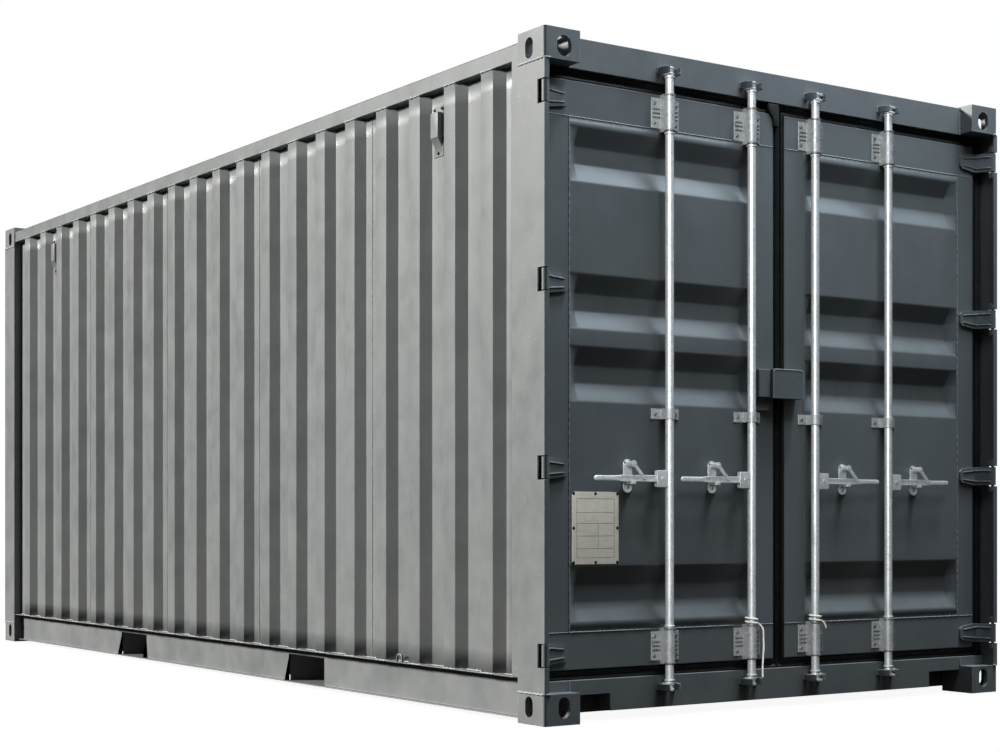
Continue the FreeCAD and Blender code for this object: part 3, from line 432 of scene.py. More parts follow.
def plateFinish(name, look):
    # a thin metal plate, brushed along one way and stained in patches
    finish, tree, place = newFinish(name)
    brushed = noise(tree, place, 30.0, 4.0, (1.0, 1.0, 26.0))
    patch = noise(tree, place, 13.0, 5.0)
    colour = blendColour(tree, band(tree, brushed, 0.3, 0.7), look["dark"], look["light"])
    colour = blendColour(tree, band(tree, patch, 0.5, 0.72, 0.0, 0.4), colour, look["stain"])
    return dress(finish, colour, band(tree, patch, 0.3, 0.7, 0.38, 0.58), relief(tree, brushed, 0.2, 0.0005),
                 look["metallic"])


def fibreFinish(name, look):
    # twisted fibre: fine pale lines, soiled in patches
    finish, tree, place = newFinish(name)
    lines = noise(tree, place, 900.0, 3.0)
    soil = noise(tree, place, 30.0, 5.0)
    colour = blendColour(tree, band(tree, lines, 0.35, 0.65), look["dark"], look["light"])
    colour = blendColour(tree, band(tree, soil, 0.45, 0.75, 0.0, 0.5), colour, (0.30, 0.28, 0.24, 1.0))
    finish.node_tree.nodes["Principled BSDF"].inputs["Sheen Weight"].default_value = 0.25
    return dress(finish, colour, band(tree, soil, 0.3, 0.7, 0.75, 0.92), relief(tree, lines, 0.6, 0.0006))


paintLook = {"colour": 0.185, "streaks": 0.22, "dust": 0.30, "dustColour": (0.30, 0.29, 0.27, 1.0),
             "fleckScale": 95.0, "flecks": 0.65, "wearAndHighlight": 0.6, "wearAndHighlightReach": 0.005,
             "roughness": 0.44, "peel": 0.22, "ripple": 0.10}
framePaint = paintFinish("framePaint", paintLook)
wallPaint = paintFinish("wallPaint", {**paintLook, "wearAndHighlight": 0.15, "flecks": 0.25, "dust": 0.25,
                                      "ripple": 0.16})
doorPaint = paintFinish("doorPaint", {**paintLook, "wearAndHighlight": 0.25, "flecks": 0.30, "dust": 0.18,
                                      "roughness": 0.40})
castingPaint = paintFinish("castingPaint", {**paintLook, "wearAndHighlight": 0.85, "wearAndHighlightReach": 0.008, "flecks": 0.8,
                                            "peel": 0.8, "ripple": 0.35, "roughness": 0.50})
# paler paint with strong pale edges: partly wear, partly painted highlight
wornAndHighlitPaint = paintFinish("wornAndHighlitPaint", {**paintLook, "colour": 0.30, "wearAndHighlight": 1.0, "wearAndHighlightReach": 0.010,
                                      "flecks": 1.0, "fleckScale": 70.0, "roughness": 0.5, "peel": 0.6})
# the welds' paler paint is a painted highlight standing in for the glints on the beads
paleWeldPaintedHighlight = paintFinish("paleWeldPaintedHighlight", {**paintLook, "colour": 0.37, "wearAndHighlight": 0.6, "flecks": 0.9,
                                      "fleckScale": 160.0, "peel": 0.9, "ripple": 0.6})
zinc = zincFinish("zinc", {"spangle": 140.0, "dull": 0.40, "bright": 0.56, "pale": 0.50, "specks": 0.75,
                           "metallic": 0.55, "roughness": 0.38})
oldZinc = {"spangle": 120.0, "specks": 1.0}
plateZinc = zincFinish("plateZinc", {**oldZinc, "dull": 0.19, "bright": 0.30, "pale": 0.32, "metallic": 0.45,
                                     "roughness": 0.46})
# near-black zinc for the rivets, ribs and sleeve rings: painted shade round and under them
rivetZincPaintedShade = zincFinish("rivetZincPaintedShade", {**oldZinc, "dull": 0.05, "bright": 0.12, "pale": 0.20, "metallic": 0.5,
                                     "roughness": 0.45})
rubber = rubberFinish("blackRubber", {"dark": 0.009, "light": 0.018, "dust": 0.25})
plywood = plywoodFinish("plywoodVeneer", {"dark": (0.14, 0.065, 0.030, 1.0),
                                          "light": (0.23, 0.115, 0.055, 1.0)})
plateMetal = plateFinish("plateMetal", {"dark": (0.36, 0.34, 0.29, 1.0), "light": (0.47, 0.45, 0.39, 1.0),
                                        "stain": (0.26, 0.25, 0.22, 1.0), "metallic": 0.55})
plateInk = rubberFinish("plateInk", {"dark": 0.055, "light": 0.09, "dust": 0.4})
ropeFibre = fibreFinish("ropeFibre", {"dark": (0.42, 0.40, 0.35, 1.0), "light": (0.66, 0.64, 0.58, 1.0)})
finishOf = {"frame_paint": framePaint, "wall_paint": wallPaint, "door_paint": doorPaint,
            "casting_paint": castingPaint, "galvanised": zinc, "seal_rubber": rubber,
            "plywood": plywood, "data_metal": plateMetal, "rope_fibre": ropeFibre}
for node, shape in nodes.items():
    shape.data.materials.clear()
    shape.data.materials.append(finishOf[slotOf[node]])
print("stage: finishes made")


studio = {
    "eye": (-5.086, -8.689, 0.769), "heading": -35.53, "lens": 66.95, "sensor": 36.0,
    "shift": (-0.083, 0.1426), "farthest": 200.0,
    "sun": {"turn": 40.0, "rise": 24.0, "power": 6.1, "spread": 9.0, "colour": (1.0, 0.985, 0.96)},
    "panels": {
        "overhead": {"place": (2.4, -5.0, 15.0), "aim": (0.0, -3.0, 1.2), "size": (2.4, 1.6),
                     "power": 1950.0},
        "upperFront": {"place": (0.9, -4.4, 4.7), "aim": (0.3, -2.95, 2.0), "size": (4.0, 0.8),
                       "power": 100.0},
        "rightFill": {"place": (9.5, 1.5, 3.5), "aim": (1.2, -0.5, 1.2), "size": (5.0, 3.0), "power": 420.0},
        "gear": {"place": (-4.4, -6.8, 3.0), "aim": (0.0, -2.95, 1.2), "size": (2.0, 3.2), "power": 610.0},
    },
    "panelColour": (0.76, 0.88, 1.0), "gearColour": (0.95, 0.98, 1.0),
    "sky": 0.085, "ground": 0.015, "floor": 0.93, "floorReach": 40.0,
}

cameraData = bpy.data.cameras.new("camera")
cameraData.lens = studio["lens"]
cameraData.sensor_width = studio["sensor"]
cameraData.shift_x, cameraData.shift_y = studio["shift"]
cameraData.clip_end = studio["farthest"]
camera = bpy.data.objects.new("camera", cameraData)
camera.location = studio["eye"]
camera.rotation_euler = (math.radians(90), 0.0, math.radians(studio["heading"]))
bpy.context.scene.collection.objects.link(camera)
bpy.context.scene.camera = camera
bpy.context.scene.view_settings.view_transform = "Standard"


def addLamp(name, kind, power, colour, place, target):
    # a lamp at one place that points at another
    data = bpy.data.lights.new(name, kind)
    data.energy = power
    data.color = colour
    lamp = bpy.data.objects.new(name, data)
    lamp.location = place
    x, y, z = np.array(target) - np.array(place)
    lamp.rotation_euler = (math.atan2(math.hypot(x, y), -z), 0.0, math.atan2(y, x) - math.pi / 2)
    bpy.context.scene.collection.objects.link(lamp)
    return lamp


look = studio["sun"]
turn, rise = math.radians(look["turn"]), math.radians(look["rise"])
sunFrom = (-math.cos(turn) * math.cos(rise), math.sin(turn) * math.cos(rise), math.sin(rise))
sun = addLamp("keyLight", "SUN", look["power"], look["colour"], sunFrom, (0.0, 0.0, 0.0))
sun.data.angle = math.radians(look["spread"])

gearGroup = bpy.data.collections.new("gearReceivers")    # the only pieces that the gear panel lights
lamps = [sun]
for label, look in studio["panels"].items():
    colour = studio["gearColour"] if label == "gear" else studio["panelColour"]
    panel = addLamp(label, "AREA", look["power"], colour, look["place"], look["aim"])
    panel.data.shape = "RECTANGLE"
    panel.data.size, panel.data.size_y = look["size"]
    panel.visible_camera = False
    if label == "gear":
        panel.light_linking.receiver_collection = gearGroup
    else:
        lamps.append(panel)

floorFinish = newFinish("paleFloor")[0]
floorShader = floorFinish.node_tree.nodes["Principled BSDF"]
floorShader.inputs["Base Color"].default_value = (0.8, 0.8, 0.8, 1.0)
floorShader.inputs["Roughness"].default_value = 0.9
floorShader.inputs["Specular IOR Level"].default_value = 0.0
floorShader.inputs["Emission Color"].default_value = (1.0, 1.0, 1.0, 1.0)
floorShader.inputs["Emission Strength"].default_value = studio["floor"]
floorFinish.cycles.emission_sampling = "NONE"
reach = studio["floorReach"]
floorMesh = bpy.data.meshes.new("floor")
corners = [(-reach, -reach, 0), (reach, -reach, 0), (reach, reach, 0), (-reach, reach, 0)]
floorMesh.from_pydata(corners, [], [(0, 1, 2, 3)])
floorMesh.materials.append(floorFinish)
floor = bpy.data.objects.new("floor", floorMesh)
bpy.context.scene.collection.objects.link(floor)
floor.visible_diffuse = False
floor.visible_glossy = False
for lamp in lamps:    # the sun and the other panels light all but the floor
    group = bpy.data.collections.new(lamp.name + "Receivers")
    lamp.light_linking.receiver_collection = group
    group.objects.link(floor)
    group.collection_objects[0].light_linking.link_state = "EXCLUDE"

world = bpy.data.worlds.new("studio")
bpy.context.scene.world = world
world.use_nodes = True
sky = world.node_tree
backdrop = sky.nodes["Background"]
direction = put(sky, "SeparateXYZ", {0: put(sky, "TexCoord").outputs["Generated"]}).outputs[2]
glow = band(sky, direction, -0.05, 0.35, studio["ground"], studio["sky"])
seen = put(sky, "LightPath").outputs["Is Camera Ray"]
strength = put(sky, "Mix", {0: seen, 2: glow, 3: 1.0}, data_type="FLOAT").outputs[0]
sky.links.new(strength, backdrop.inputs["Strength"])
backdrop.inputs["Color"].default_value = (1.0, 1.0, 1.0, 1.0)
print("stage: studio set")


box = {name: np.array(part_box(name)) for name in nodes}
wall = {"pitch": 0.2764, "crest": 0.084, "slope": 0.044, "depth": 0.036, "waves": 20,
        "bend": 0.008, "sheet": 0.002, "dent": 0.0006, "rows": 28}
endSheet = {"pitch": 0.250, "crest": 0.110, "slope": 0.018, "depth": 0.045, "waves": 8,
            "bend": 0.008, "sheet": 0.002, "dent": 0.0006, "rows": 28}


def foldLine(look, start, end, high, low):
    # a folded line: flats at low and crests at high, joined by slopes, every corner rounded
    first = -((look["waves"] - 1) * look["pitch"] + look["crest"]) / 2
    left = first + look["pitch"] * np.arange(look["waves"])
    right = left + look["crest"]
    along = np.stack([left - look["slope"], left, right, right + look["slope"]], 1)
    level = np.tile([low, high, high, low], (look["waves"], 1))
    corners = np.stack([along.ravel(), level.ravel()], 1)
    corners = np.concatenate([[(start, low)], corners, [(end, low)]])
    return roundCorners(corners, look["bend"], 4, closed=False)


def foldSheet(line, low, high, look, axis):
    # the folded line carried upwards; each point leans out by a small wandering dent
    z = np.linspace(low, high, look["rows"])[:, None]
    across = line[None, :, 0]
    dent = look["dent"] * (spread(across * 2.3 + z * 0.7, 3) * spread(z * 3.1 - across * 0.4, 5))
    dent = dent * np.clip(np.minimum(z - low, high - z) / 0.08, 0, 1)
    along = np.broadcast_to(across, dent.shape)
    out = line[None, :, 1] + dent
    up = np.broadcast_to(z, dent.shape)
    grid = np.stack([out, along, up], -1) if axis == "x" else np.stack([along, out, up], -1)
    return surface(grid)


wallBox = box["side_wall_right"]
sideLine = foldLine(wall, wallBox[0][1], wallBox[1][1], wallBox[1][0], wallBox[1][0] - wall["depth"])
for side, sign in sides.items():
    part = mirrored(foldSheet(sideLine, wallBox[0][2], wallBox[1][2], wall, "x"), sign)
    piece = addPiece("side_sheet_" + side, part, "root", "wall_paint", wallPaint, closed=False,
                     smoothAngle=60)
    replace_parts(sheetWall(piece, wall["sheet"]), "side_wall_" + side)

endBox = box["end_wall"]
endLine = foldLine(endSheet, endBox[0][0], endBox[1][0], endBox[1][1] - endSheet["depth"], endBox[1][1])
points, faces = foldSheet(endLine, endBox[0][2], endBox[1][2], endSheet, "y")
piece = addPiece("end_sheet", (points, [face[::-1] for face in faces]), "root", "wall_paint", wallPaint,
                 closed=False, smoothAngle=60)
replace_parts(sheetWall(piece, endSheet["sheet"]), "end_wall")


blend = 0.07    # how far each bend of a ramp reaches, as a share of the ramp's width


def softRamp(distance, width):
    # 0 outside, 1 inside and a straight slope of the given width between, its two bends eased by a parabola
    t = distance / width
    low = np.where(t < -blend, 0, np.where(t > blend, t, (t + blend) ** 2 / (4 * blend)))
    back = 1 - low
    return np.where(back > blend, low, 1 - np.where(back < -blend, 0, (back + blend) ** 2 / (4 * blend)))


def fineLine(low, high, corners, reach, coarse):
    # evenly spaced places, with five more about each bend
    about = (np.asarray(corners)[:, None] + reach * np.linspace(-1, 1, 5)[None, :]).ravel()
    line = np.concatenate([np.linspace(low, high, max(2, int((high - low) / coarse))), about])
    return np.unique(np.round(np.clip(line, low, high), 5))


roofLook = {"pitch": 0.209, "waves": 26, "crest": 0.091, "slope": 0.014, "endSlope": 0.028, "border": 0.060,
            "rise": 0.020, "sheet": 0.002, "sag": 0.0008, "tongue": 0.1565, "sheetEnd": 2.851}


def roofSheet():
    # a flat sheet that rises by the product of two ramps, one across each ridge and one at its ends
    low, high = box["roof"]
    tongue = high[0] - roofLook["tongue"]
    edge = high[0] - roofLook["border"]
    middles = roofLook["pitch"] * (np.arange(roofLook["waves"]) - (roofLook["waves"] - 1) / 2)
    sheetEnd = roofLook["sheetEnd"]
    crest = roofLook["crest"] / 2
    half = crest + roofLook["slope"]
    inner = edge - roofLook["endSlope"]
    bends = (middles[:, None] + np.array([-half, -crest, crest, half])).ravel()
    y = fineLine(-sheetEnd, sheetEnd, bends, 0.0022, 0.10)
    x = fineLine(-high[0], high[0], [-edge, -inner, inner, edge], 0.004, 0.16)
    away = np.abs(y[:, None] - middles[None, :]).min(1)
    across, ends = softRamp(half - away, roofLook["slope"]), softRamp(edge - np.abs(x), roofLook["endSlope"])
    rise = across[:, None] * ends[None]
    base = high[2] - roofLook["rise"]
    sag = roofLook["sag"] * spread(x * 2.4, 8)[None] * spread(y * 1.7, 9)[:, None] * rise
    z = base + roofLook["rise"] * rise - np.abs(sag)
    grid = np.stack(np.broadcast_arrays(x[None], y[:, None], z), -1)
    parts = [surface(grid)]
    for start, end in ((low[1], -sheetEnd), (sheetEnd, high[1])):
        flatX, flatY = np.linspace(-tongue, tongue, 6), np.linspace(start, end, 3)
        parts.append(surface(np.stack(np.broadcast_arrays(flatX[None], flatY[:, None], base), -1)))
    return together(parts)


piece = addPiece("roof_sheet", roofSheet(), "root", "wall_paint", wallPaint, closed=False, smoothAngle=60)
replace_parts(sheetWall(piece, roofLook["sheet"]), "roof")

doorSheet = {"troughs": (0.482, 1.319, 1.594, 2.152), "flat": 0.066, "slope": 0.072, "endSlope": 0.046,
             "margin": 0.003, "depth": 0.036, "sheet": 0.002, "dent": 0.0009}


def panelSheet(node):
    # the leaf's sheet: it goes back by a ramp across each trough times a ramp at the trough's ends
    low, high = box[node]
    flat = doorSheet["flat"] / 2
    half, slope = flat + doorSheet["slope"], doorSheet["endSlope"]
    middles = np.array(doorSheet["troughs"])
    bends = (middles[:, None] + np.array([-half, -flat, flat, half])).ravel()
    z = fineLine(low[2], high[2], bends, 0.0055, 0.04)
    left, right = low[0] + doorSheet["margin"], high[0] - doorSheet["margin"]
    x = fineLine(low[0], high[0], [left, left + slope, right - slope, right], 0.004, 0.04)
    away = np.abs(z[:, None] - middles[None, :]).min(1)
    across = softRamp(half - away, doorSheet["slope"])[:, None]
    ends = softRamp(np.minimum(x - left, right - x), doorSheet["endSlope"])[None]
    dent = doorSheet["dent"] * spread(x * 4.1, 21)[None] * spread(z * 3.7, 22)[:, None]
    dent = dent * np.clip(np.minimum(x - low[0], high[0] - x) / 0.1, 0, 1)[None]
    y = low[1] + doorSheet["depth"] * np.minimum(across, ends) + np.abs(dent)
    return surface(np.stack(np.broadcast_arrays(x[None], y, z[:, None]), -1))


for side in sides:
    node = side + "_door_panel"
    piece = addPiece(side + "_door_sheet", panelSheet(node), bodyOf[node], "door_paint", doorPaint,
                     closed=False, smoothAngle=60)
    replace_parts(sheetWall(piece, doorSheet["sheet"]), node)
print("stage: sheets made")


roundings = [    # words in the nodes' names, width of the rounded edge, finish, steps
    (("castings",), 0.009, castingPaint, 3),
    (("door_post", "closed_post"), 0.003, framePaint, 2),
    (("top_rail", "bottom_rail", "closed_end", "door_header", "door_sill"), 0.0025, framePaint, 2),
    (("cross_members", "forklift"), 0.0014, framePaint, 1),
    (("door_frame",), 0.003, doorPaint, 3),
    (("lock_box",), 0.0014, framePaint, 3),
    (("_catch", "_retainers"), 0.0014, zinc, 2),
    (("_brackets",), 0.0014, plateZinc, 2),
    (("cam_keepers",), 0.0022, wornAndHighlitPaint, 2),
    (("vents",), 0.0022, framePaint, 2),
    (("_hinges",), 0.0022, framePaint, 3),
]
for node in nodes:
    for words, width, finish, segments in roundings:
        if any(word in node for word in words):
            roundedCopy(node, width, finish, segments)

weld = {"step": 0.009, "long": 0.0038, "fine": 0.0024, "wander": 0.42, "proud": 0.0008,
        "casting": 1.15, "leafEnd": 0.8,    # times the long one, times the fine one
        "wallSeams": (-1.658, -0.553, 0.553, 1.658), "railSeams": (-2.67, 2.60), "railWeb": 1.1655,
        "railSpan": (0.0165, 0.166), "castingCorner": (0.026, 0.010, 0.0005), "sillEnd": (1.057, 0.118),
        "leafGap": 0.003}
upright = (0, 1, 0)    # the way that counts as up for a bead that itself runs up
upward = [(0, 0, 1), upright]


def stretchLine(points, step):
    # the same line with points at even steps along it
    points = np.asarray(points, float)
    run = np.concatenate([[0], np.cumsum(np.linalg.norm(np.diff(points, axis=0), axis=1))])
    even = np.linspace(0, run[-1], max(3, int(run[-1] / step)))
    return np.stack([np.interp(even, run, points[:, axis]) for axis in range(3)], 1)


def bead(points, size, seed, up=(0, 0, 1)):
    # a six-sided bead along a line; its thickness wanders by a sum of sines
    path = stretchLine(points, weld["step"])
    wander = spread(np.arange(len(path)) * 1.9, seed) + 0.5 * np.sin(np.arange(len(path)) * 2.6 + seed)
    thick = 1 + weld["wander"] * np.clip(wander, -1.6, 2.2)
    return carry(path, circle(size, 6), up, scale=thick)


def beadPair(points, size, seed, up=(0, 0, 1), seedStep=1):
    # the same bead on the left and on the right, each with its own wander
    return [mirrored(bead(points, size, seed + seedStep * sign, up), sign) for sign in sides.values()]


beads = []
for level, seed in ((wallBox[1][2], 1), (wallBox[0][2], 2)):
    line = np.column_stack([sideLine[:, 1] + weld["proud"], sideLine[:, 0], np.full(len(sideLine), level)])
    beads += beadPair(line, weld["long"], seed, seedStep=3)
    line = np.column_stack([endLine[:, 0], endLine[:, 1] + weld["proud"], np.full(len(endLine), level)])
    beads.append(bead(line, weld["long"], seed + 40))
plateau = wallBox[1][0] - wall["depth"]
for number, y in enumerate(weld["wallSeams"]):
    line = [(plateau, y, wallBox[0][2]), (plateau, y, wallBox[1][2])]
    beads += beadPair(line, weld["fine"], 60 + number, upright, 0)
for number, y in enumerate(weld["railSeams"]):
    line = [(weld["railWeb"], y, z) for z in weld["railSpan"]]
    beads += beadPair(line, weld["fine"], 70 + number, upright, 0)
start, bend, flush = weld["castingCorner"]
for node in [name for name in nodes if name.startswith("castings")]:
    low, high = box[node]
    face = high[2] if "bottom" in node else low[2]
    near, far = (low[1], high[1]) if "door" in node else (high[1], low[1])
    step = bend if "door" in node else -bend
    line = [(high[0] - start, near - step * 0.02, face), (high[0] - bend, near, face),
            (high[0] - flush, near + step, face), (high[0] - flush, far, face)]
    beads += beadPair(line, weld["long"] * weld["casting"], 80)
low, high = box["door_header"]
beads += beadPair([(high[0], low[1], low[2]), (high[0], low[1], high[2])], weld["long"], 90, upright)
low, high = box["door_sill"]
x, foot = weld["sillEnd"]
beads += beadPair([(x, low[1], foot), (x, low[1], high[2])], weld["long"], 93, upright)
addPiece("frame_welds", together(beads), "root", "frame_paint", paleWeldPaintedHighlight, smoothAngle=80)

for side, sign in sides.items():
    low, high = box[side + "_door_panel"]
    leafLow, leafHigh = box[side + "_door_frame"]
    x0, front, z0 = low
    x1, z1 = high[0], high[2]
    corners = [(x0, front, z0), (x1, front, z0), (x1, front, z1), (x0, front, z1), (x0, front, z0)]
    rows = [bead(corners[number:number + 2], weld["fine"], 100 + number + sign, upward[number % 2])
            for number in range(4)]
    for level in (z0, z1):
        for start, end in ((leafLow[0] + weld["leafGap"], x0), (x1, leafHigh[0] - weld["leafGap"])):
            ends = [(start, front, level), (end, front, level)]
            rows.append(bead(ends, weld["fine"] * weld["leafEnd"], 120 + sign))
    addPiece(side + "_door_welds", together(rows), side + "_door", "door_paint", paleWeldPaintedHighlight, smoothAngle=80)
print("stage: frame and welds made")


seal = {"lip": 0.011, "across": 0.05, "round": 0.0035, "steps": 40,
        # the flap over the gap between the doors: as (x, z)
        "flap": [(-0.002, 2.4655), (-0.064, 2.4655), (-0.060, 2.436), (-0.036, 2.404), (-0.031, 2.372),
                 (-0.002, 2.372)],
        "flapRound": 0.008, "flapFrom": -2.9412, "flapTo": -2.9550}


def sealRing(node, leaf):
    # a lip profile set between two rectangles, the leaf's edge and the frame:
    # inner corner + share x (outer - inner)
    low, high = box[node]
    inner = box[leaf]
    deep = high[1] - low[1]
    lip = seal["lip"]
    profile = [(0.0, 0.004), (0.14, 0.001), (0.30, 0.002), (0.42, lip), (0.60, lip * 1.15), (0.80, 0.004),
               (0.92, 0.001), (1.0, 0.006), (0.985, 0.016), (0.90, 0.026), (0.93, deep - 0.004), (0.86, deep),
               (0.0, deep)]
    flat = roundCorners([(share * seal["across"], y) for share, y in profile], seal["round"], 3)
    share, y = flat[:, 0] / seal["across"], flat[:, 1]
    turns = [(0, 0), (1, 0), (1, 1), (0, 1)]
    part = np.linspace(0, 1, seal["steps"], endpoint=False)[:, None]
    lines = []
    for ends in (inner, box[node]):
        corners = np.array([(ends[right][0], ends[top][2]) for right, top in turns])
        following = np.roll(corners, -1, 0)
        edges = [start + part * (stop - start) for start, stop in zip(corners, following)]
        lines.append(np.concatenate(edges))
    flatGrid = lines[0][None] + np.clip(share, 0, 1)[:, None, None] * (lines[1] - lines[0])[None]
    level = np.broadcast_to((low[1] + np.clip(y, 0, deep))[:, None], flatGrid.shape[:2])
    return surface(np.stack([flatGrid[..., 0], level, flatGrid[..., 1]], -1), wrapRows=True, wrapColumns=True)


for side in sides:
    node = side + "_door_seal"
    ring = sealRing(node, side + "_door_frame")
    piece = addPiece(side + "_lip_seal", ring, bodyOf[node], "seal_rubber", rubber, smoothAngle=50)
    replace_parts(piece, node)
flap = slab(roundCorners(seal["flap"], seal["flapRound"], 4), "y", seal["flapFrom"], seal["flapTo"], 0.004)
addPiece("centre_flap", flap, "left_door", "seal_rubber", rubber)
print("stage: seals made")


gear = {"bars": {"outer": 0.594, "inner": 0.173}, "bar": 0.017,
        "collars": (0.1345, 0.3455, 2.2670, 2.4860), "collar": 0.0212, "collarTall": 0.009,
        "camRound": 0.019, "camReach": 0.030, "camTall": 0.034, "camPlate": 0.011,
        "camWeb": (0.012, 0.025, 0.0045),
        "hub": (0.013, 0.068), "hubTall": 0.066, "hubPlate": 0.004, "hubCorner": 0.007, "gap": 0.0057,
        "rivet": 0.040, "rivetHead": (0.0085, 0.0019), "pin": 0.005,
        "hubWeld": (0.0165, 0.0028), "hubWeldRise": 0.024, "hubWeldHalf": 0.010, "height": 0.924}
lever = {"reach": 0.364, "heel": 0.016, "thick": 0.010, "tall": 0.026, "gripTall": 0.020, "gripFrom": 0.60,
         "groove": 0.0028, "grooveHalf": 0.0055, "grooveFrom": 0.12}
barY = (box["left_inner_bar"][0][1] + box["left_inner_bar"][1][1]) / 2
leafFront = box["left_door_frame"][0][1]


def domeHead(centre, radius, tall, axis="y", away=-1, count=14):
    # a round head: a quarter arc of (radius x cos, tall x sin) turned about its axis, on a short collar
    turns = np.linspace(0, math.pi / 2, 5)
    profile = np.stack([radius * np.cos(turns), away * tall * (0.2 + 0.8 * np.sin(turns))], 1)
    profile = np.concatenate([[(radius, 0.0)], profile])
    profile[-1, 0] = 0.0
    return lathe(profile, centre, axis, count)


def boltHead(centre, across, tall, axis, away):
    # a six-sided head with a rounded top
    level = "xyz".index(axis)
    middle = np.array(centre)
    flat = circle(across / 2, 6) + np.delete(middle, level)
    return slab(flat, axis, middle[level], middle[level] + away * tall, across * 0.10)


def camOutline(barX, sign):
    # a round boss with a flat-sided beak that reaches out to one side
    reach, waist = gear["camReach"], gear["camRound"]
    tip = math.asin(waist / reach * 0.86)
    front = np.linspace(-tip, tip, 7)
    back = np.linspace(math.pi * 0.5, math.pi * 1.5, 12)
    outline = np.concatenate([reach * np.stack([np.cos(front), np.sin(front)], 1),
                              (waist - 0.0005) * np.stack([np.cos(back), np.sin(back)], 1)])
    outline[:, 0] *= sign
    return outline + np.array([barX, barY])


def barShaft(barX, foot, top):
    # the bar and its four collars: one profile of (radius, height) turned about the bar's middle
    r, collar, tall, rim = gear["bar"], gear["collar"], gear["collarTall"], 0.002
    line = [(0.0, foot + gear["camTall"] - rim), (r, foot + gear["camTall"] - rim)]
    for level in gear["collars"]:
        line += [(r, level), (collar - rim, level), (collar, level + rim), (collar, level + tall - rim),
                 (collar - rim, level + tall - 0.0005), (r, level + tall - 0.0005)]
    line += [(r, top - gear["camTall"] + rim), (0.0, top - gear["camTall"] + rim)]
    return lathe(line, (barX, barY, 0.0), "z", 32)


def forkedCam(barX, sign, foot):
    # two beaked plates, one over the other, on a round core with a web between them
    tall, plate = gear["camTall"], gear["camPlate"]
    start, end, half = gear["camWeb"]
    outline = camOutline(barX, sign)
    core = circle(gear["camRound"] - 0.003, 24) + np.array([barX, barY])
    inner, outer = foot + plate - 0.002, foot + tall - plate + 0.002
    return [slab(outline, "z", foot, foot + plate, 0.0025, 0.0025),
            slab(outline, "z", foot + tall - plate, foot + tall, 0.0025, 0.0025),
            slab(core, "z", inner, outer, 0.0005, 0.0005),
            block((barX + sign * start, barY - half, inner), (barX + sign * end, barY + half, outer), 0.002)]


def hubPlates(barX, sign):
    # two plates that hold the handle between them, with a rivet through both and welds along the bar
    height, half, thick = gear["height"], gear["hubTall"] / 2, gear["hubPlate"]
    start, end = sorted((barX + sign * gear["hub"][0], barX + sign * gear["hub"][1]))
    rivetX, weldX = barX + sign * gear["rivet"], barX + sign * gear["hubWeld"][0]
    plate = rectangle(start, end, height - half, height + half, gear["hubCorner"])
    parts = []
    for away in (-1, 1):
        near = barY + away * gear["gap"]
        far = near + away * thick
        parts.append(slab(plate, "y", near, far, 0.0012))
        parts.append(domeHead((rivetX, far, height), *gear["rivetHead"], "y", away))
        for middle in (height - gear["hubWeldRise"], height + gear["hubWeldRise"]):
            ends = [middle - gear["hubWeldHalf"], middle + gear["hubWeldHalf"]]
            line = [(weldX, far - away * 0.002, z) for z in ends]
            parts.append(bead(line, gear["hubWeld"][1], 7, upright))
    pinEnd = gear["gap"] + 0.002
    parts.append(lathe([(gear["pin"], -pinEnd), (gear["pin"], pinEnd)], (rivetX, barY, height), "y", 16))
    return parts


def leverArm(barX, sign):
    # a superellipse carried along the lever: flat-sided with a groove at the hub, rounder at the grip;
    # both ends shrink by the square root of 1 - t squared
    tip = barX + sign * lever["reach"]
    heel = barX + sign * (gear["rivet"] - lever["heel"])
    share = np.concatenate([[0.0, 0.004, 0.012], np.linspace(0.03, 0.97, 40), [0.985, 0.995, 1.0]])
    along = heel + share * (tip - heel)
    grip = np.clip((share - lever["gripFrom"]) / 0.10, 0, 1)
    rounded = np.sqrt(np.clip(1 - np.clip(1 - share / 0.012, 0, 1) ** 2 * 0.6, 0, 1))
    rounded = rounded * np.sqrt(np.clip(1 - np.clip((share - 0.97) / 0.03, 0, 1) ** 2 * 0.85, 0, 1))
    cos, sin = np.cos(turnLoop(28))[None], np.sin(turnLoop(28))[None]
    power = 0.32 + 0.45 * grip[:, None]
    tall = (lever["tall"] / 2 * (1 - grip) + lever["gripTall"] / 2 * grip) * rounded
    u = lever["thick"] / 2 * np.sign(cos) * np.abs(cos) ** power
    v = tall[:, None] * np.sign(sin) * np.abs(sin) ** power
    dip = lever["groove"] * np.clip((share - lever["grooveFrom"]) / 0.05, 0, 1) * (1 - grip)
    dipped = dip[:, None] * np.exp(-(v / lever["grooveHalf"]) ** 2)
    u = np.where(u < 0, u + dipped, u) * (0.35 + 0.65 * rounded[:, None])
    grid = np.stack(np.broadcast_arrays(along[:, None], barY + u, gear["height"] + v), -1)
    return surface(grid, wrapColumns=True, capStart=True, capEnd=True)


for side, sign in sides.items():
    for which, place in gear["bars"].items():
        barX, start = sign * place, side + "_" + which
        node = start + "_bar"
        foot, top = box[node][0][2], box[node][1][2]
        parts = [barShaft(barX, foot, top)] + forkedCam(barX, sign, foot)
        parts += forkedCam(barX, sign, top - gear["camTall"]) + hubPlates(barX, sign)
        piece = addPiece(start + "_lock_bar", together(parts), bodyOf[node], "galvanised", zinc)
        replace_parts(piece, node)
        node = start + "_handle"
        arm = leverArm(barX, sign)
        piece = addPiece(start + "_lever", arm, bodyOf[node], "galvanised", zinc, smoothAngle=50)
        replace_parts(piece, node)

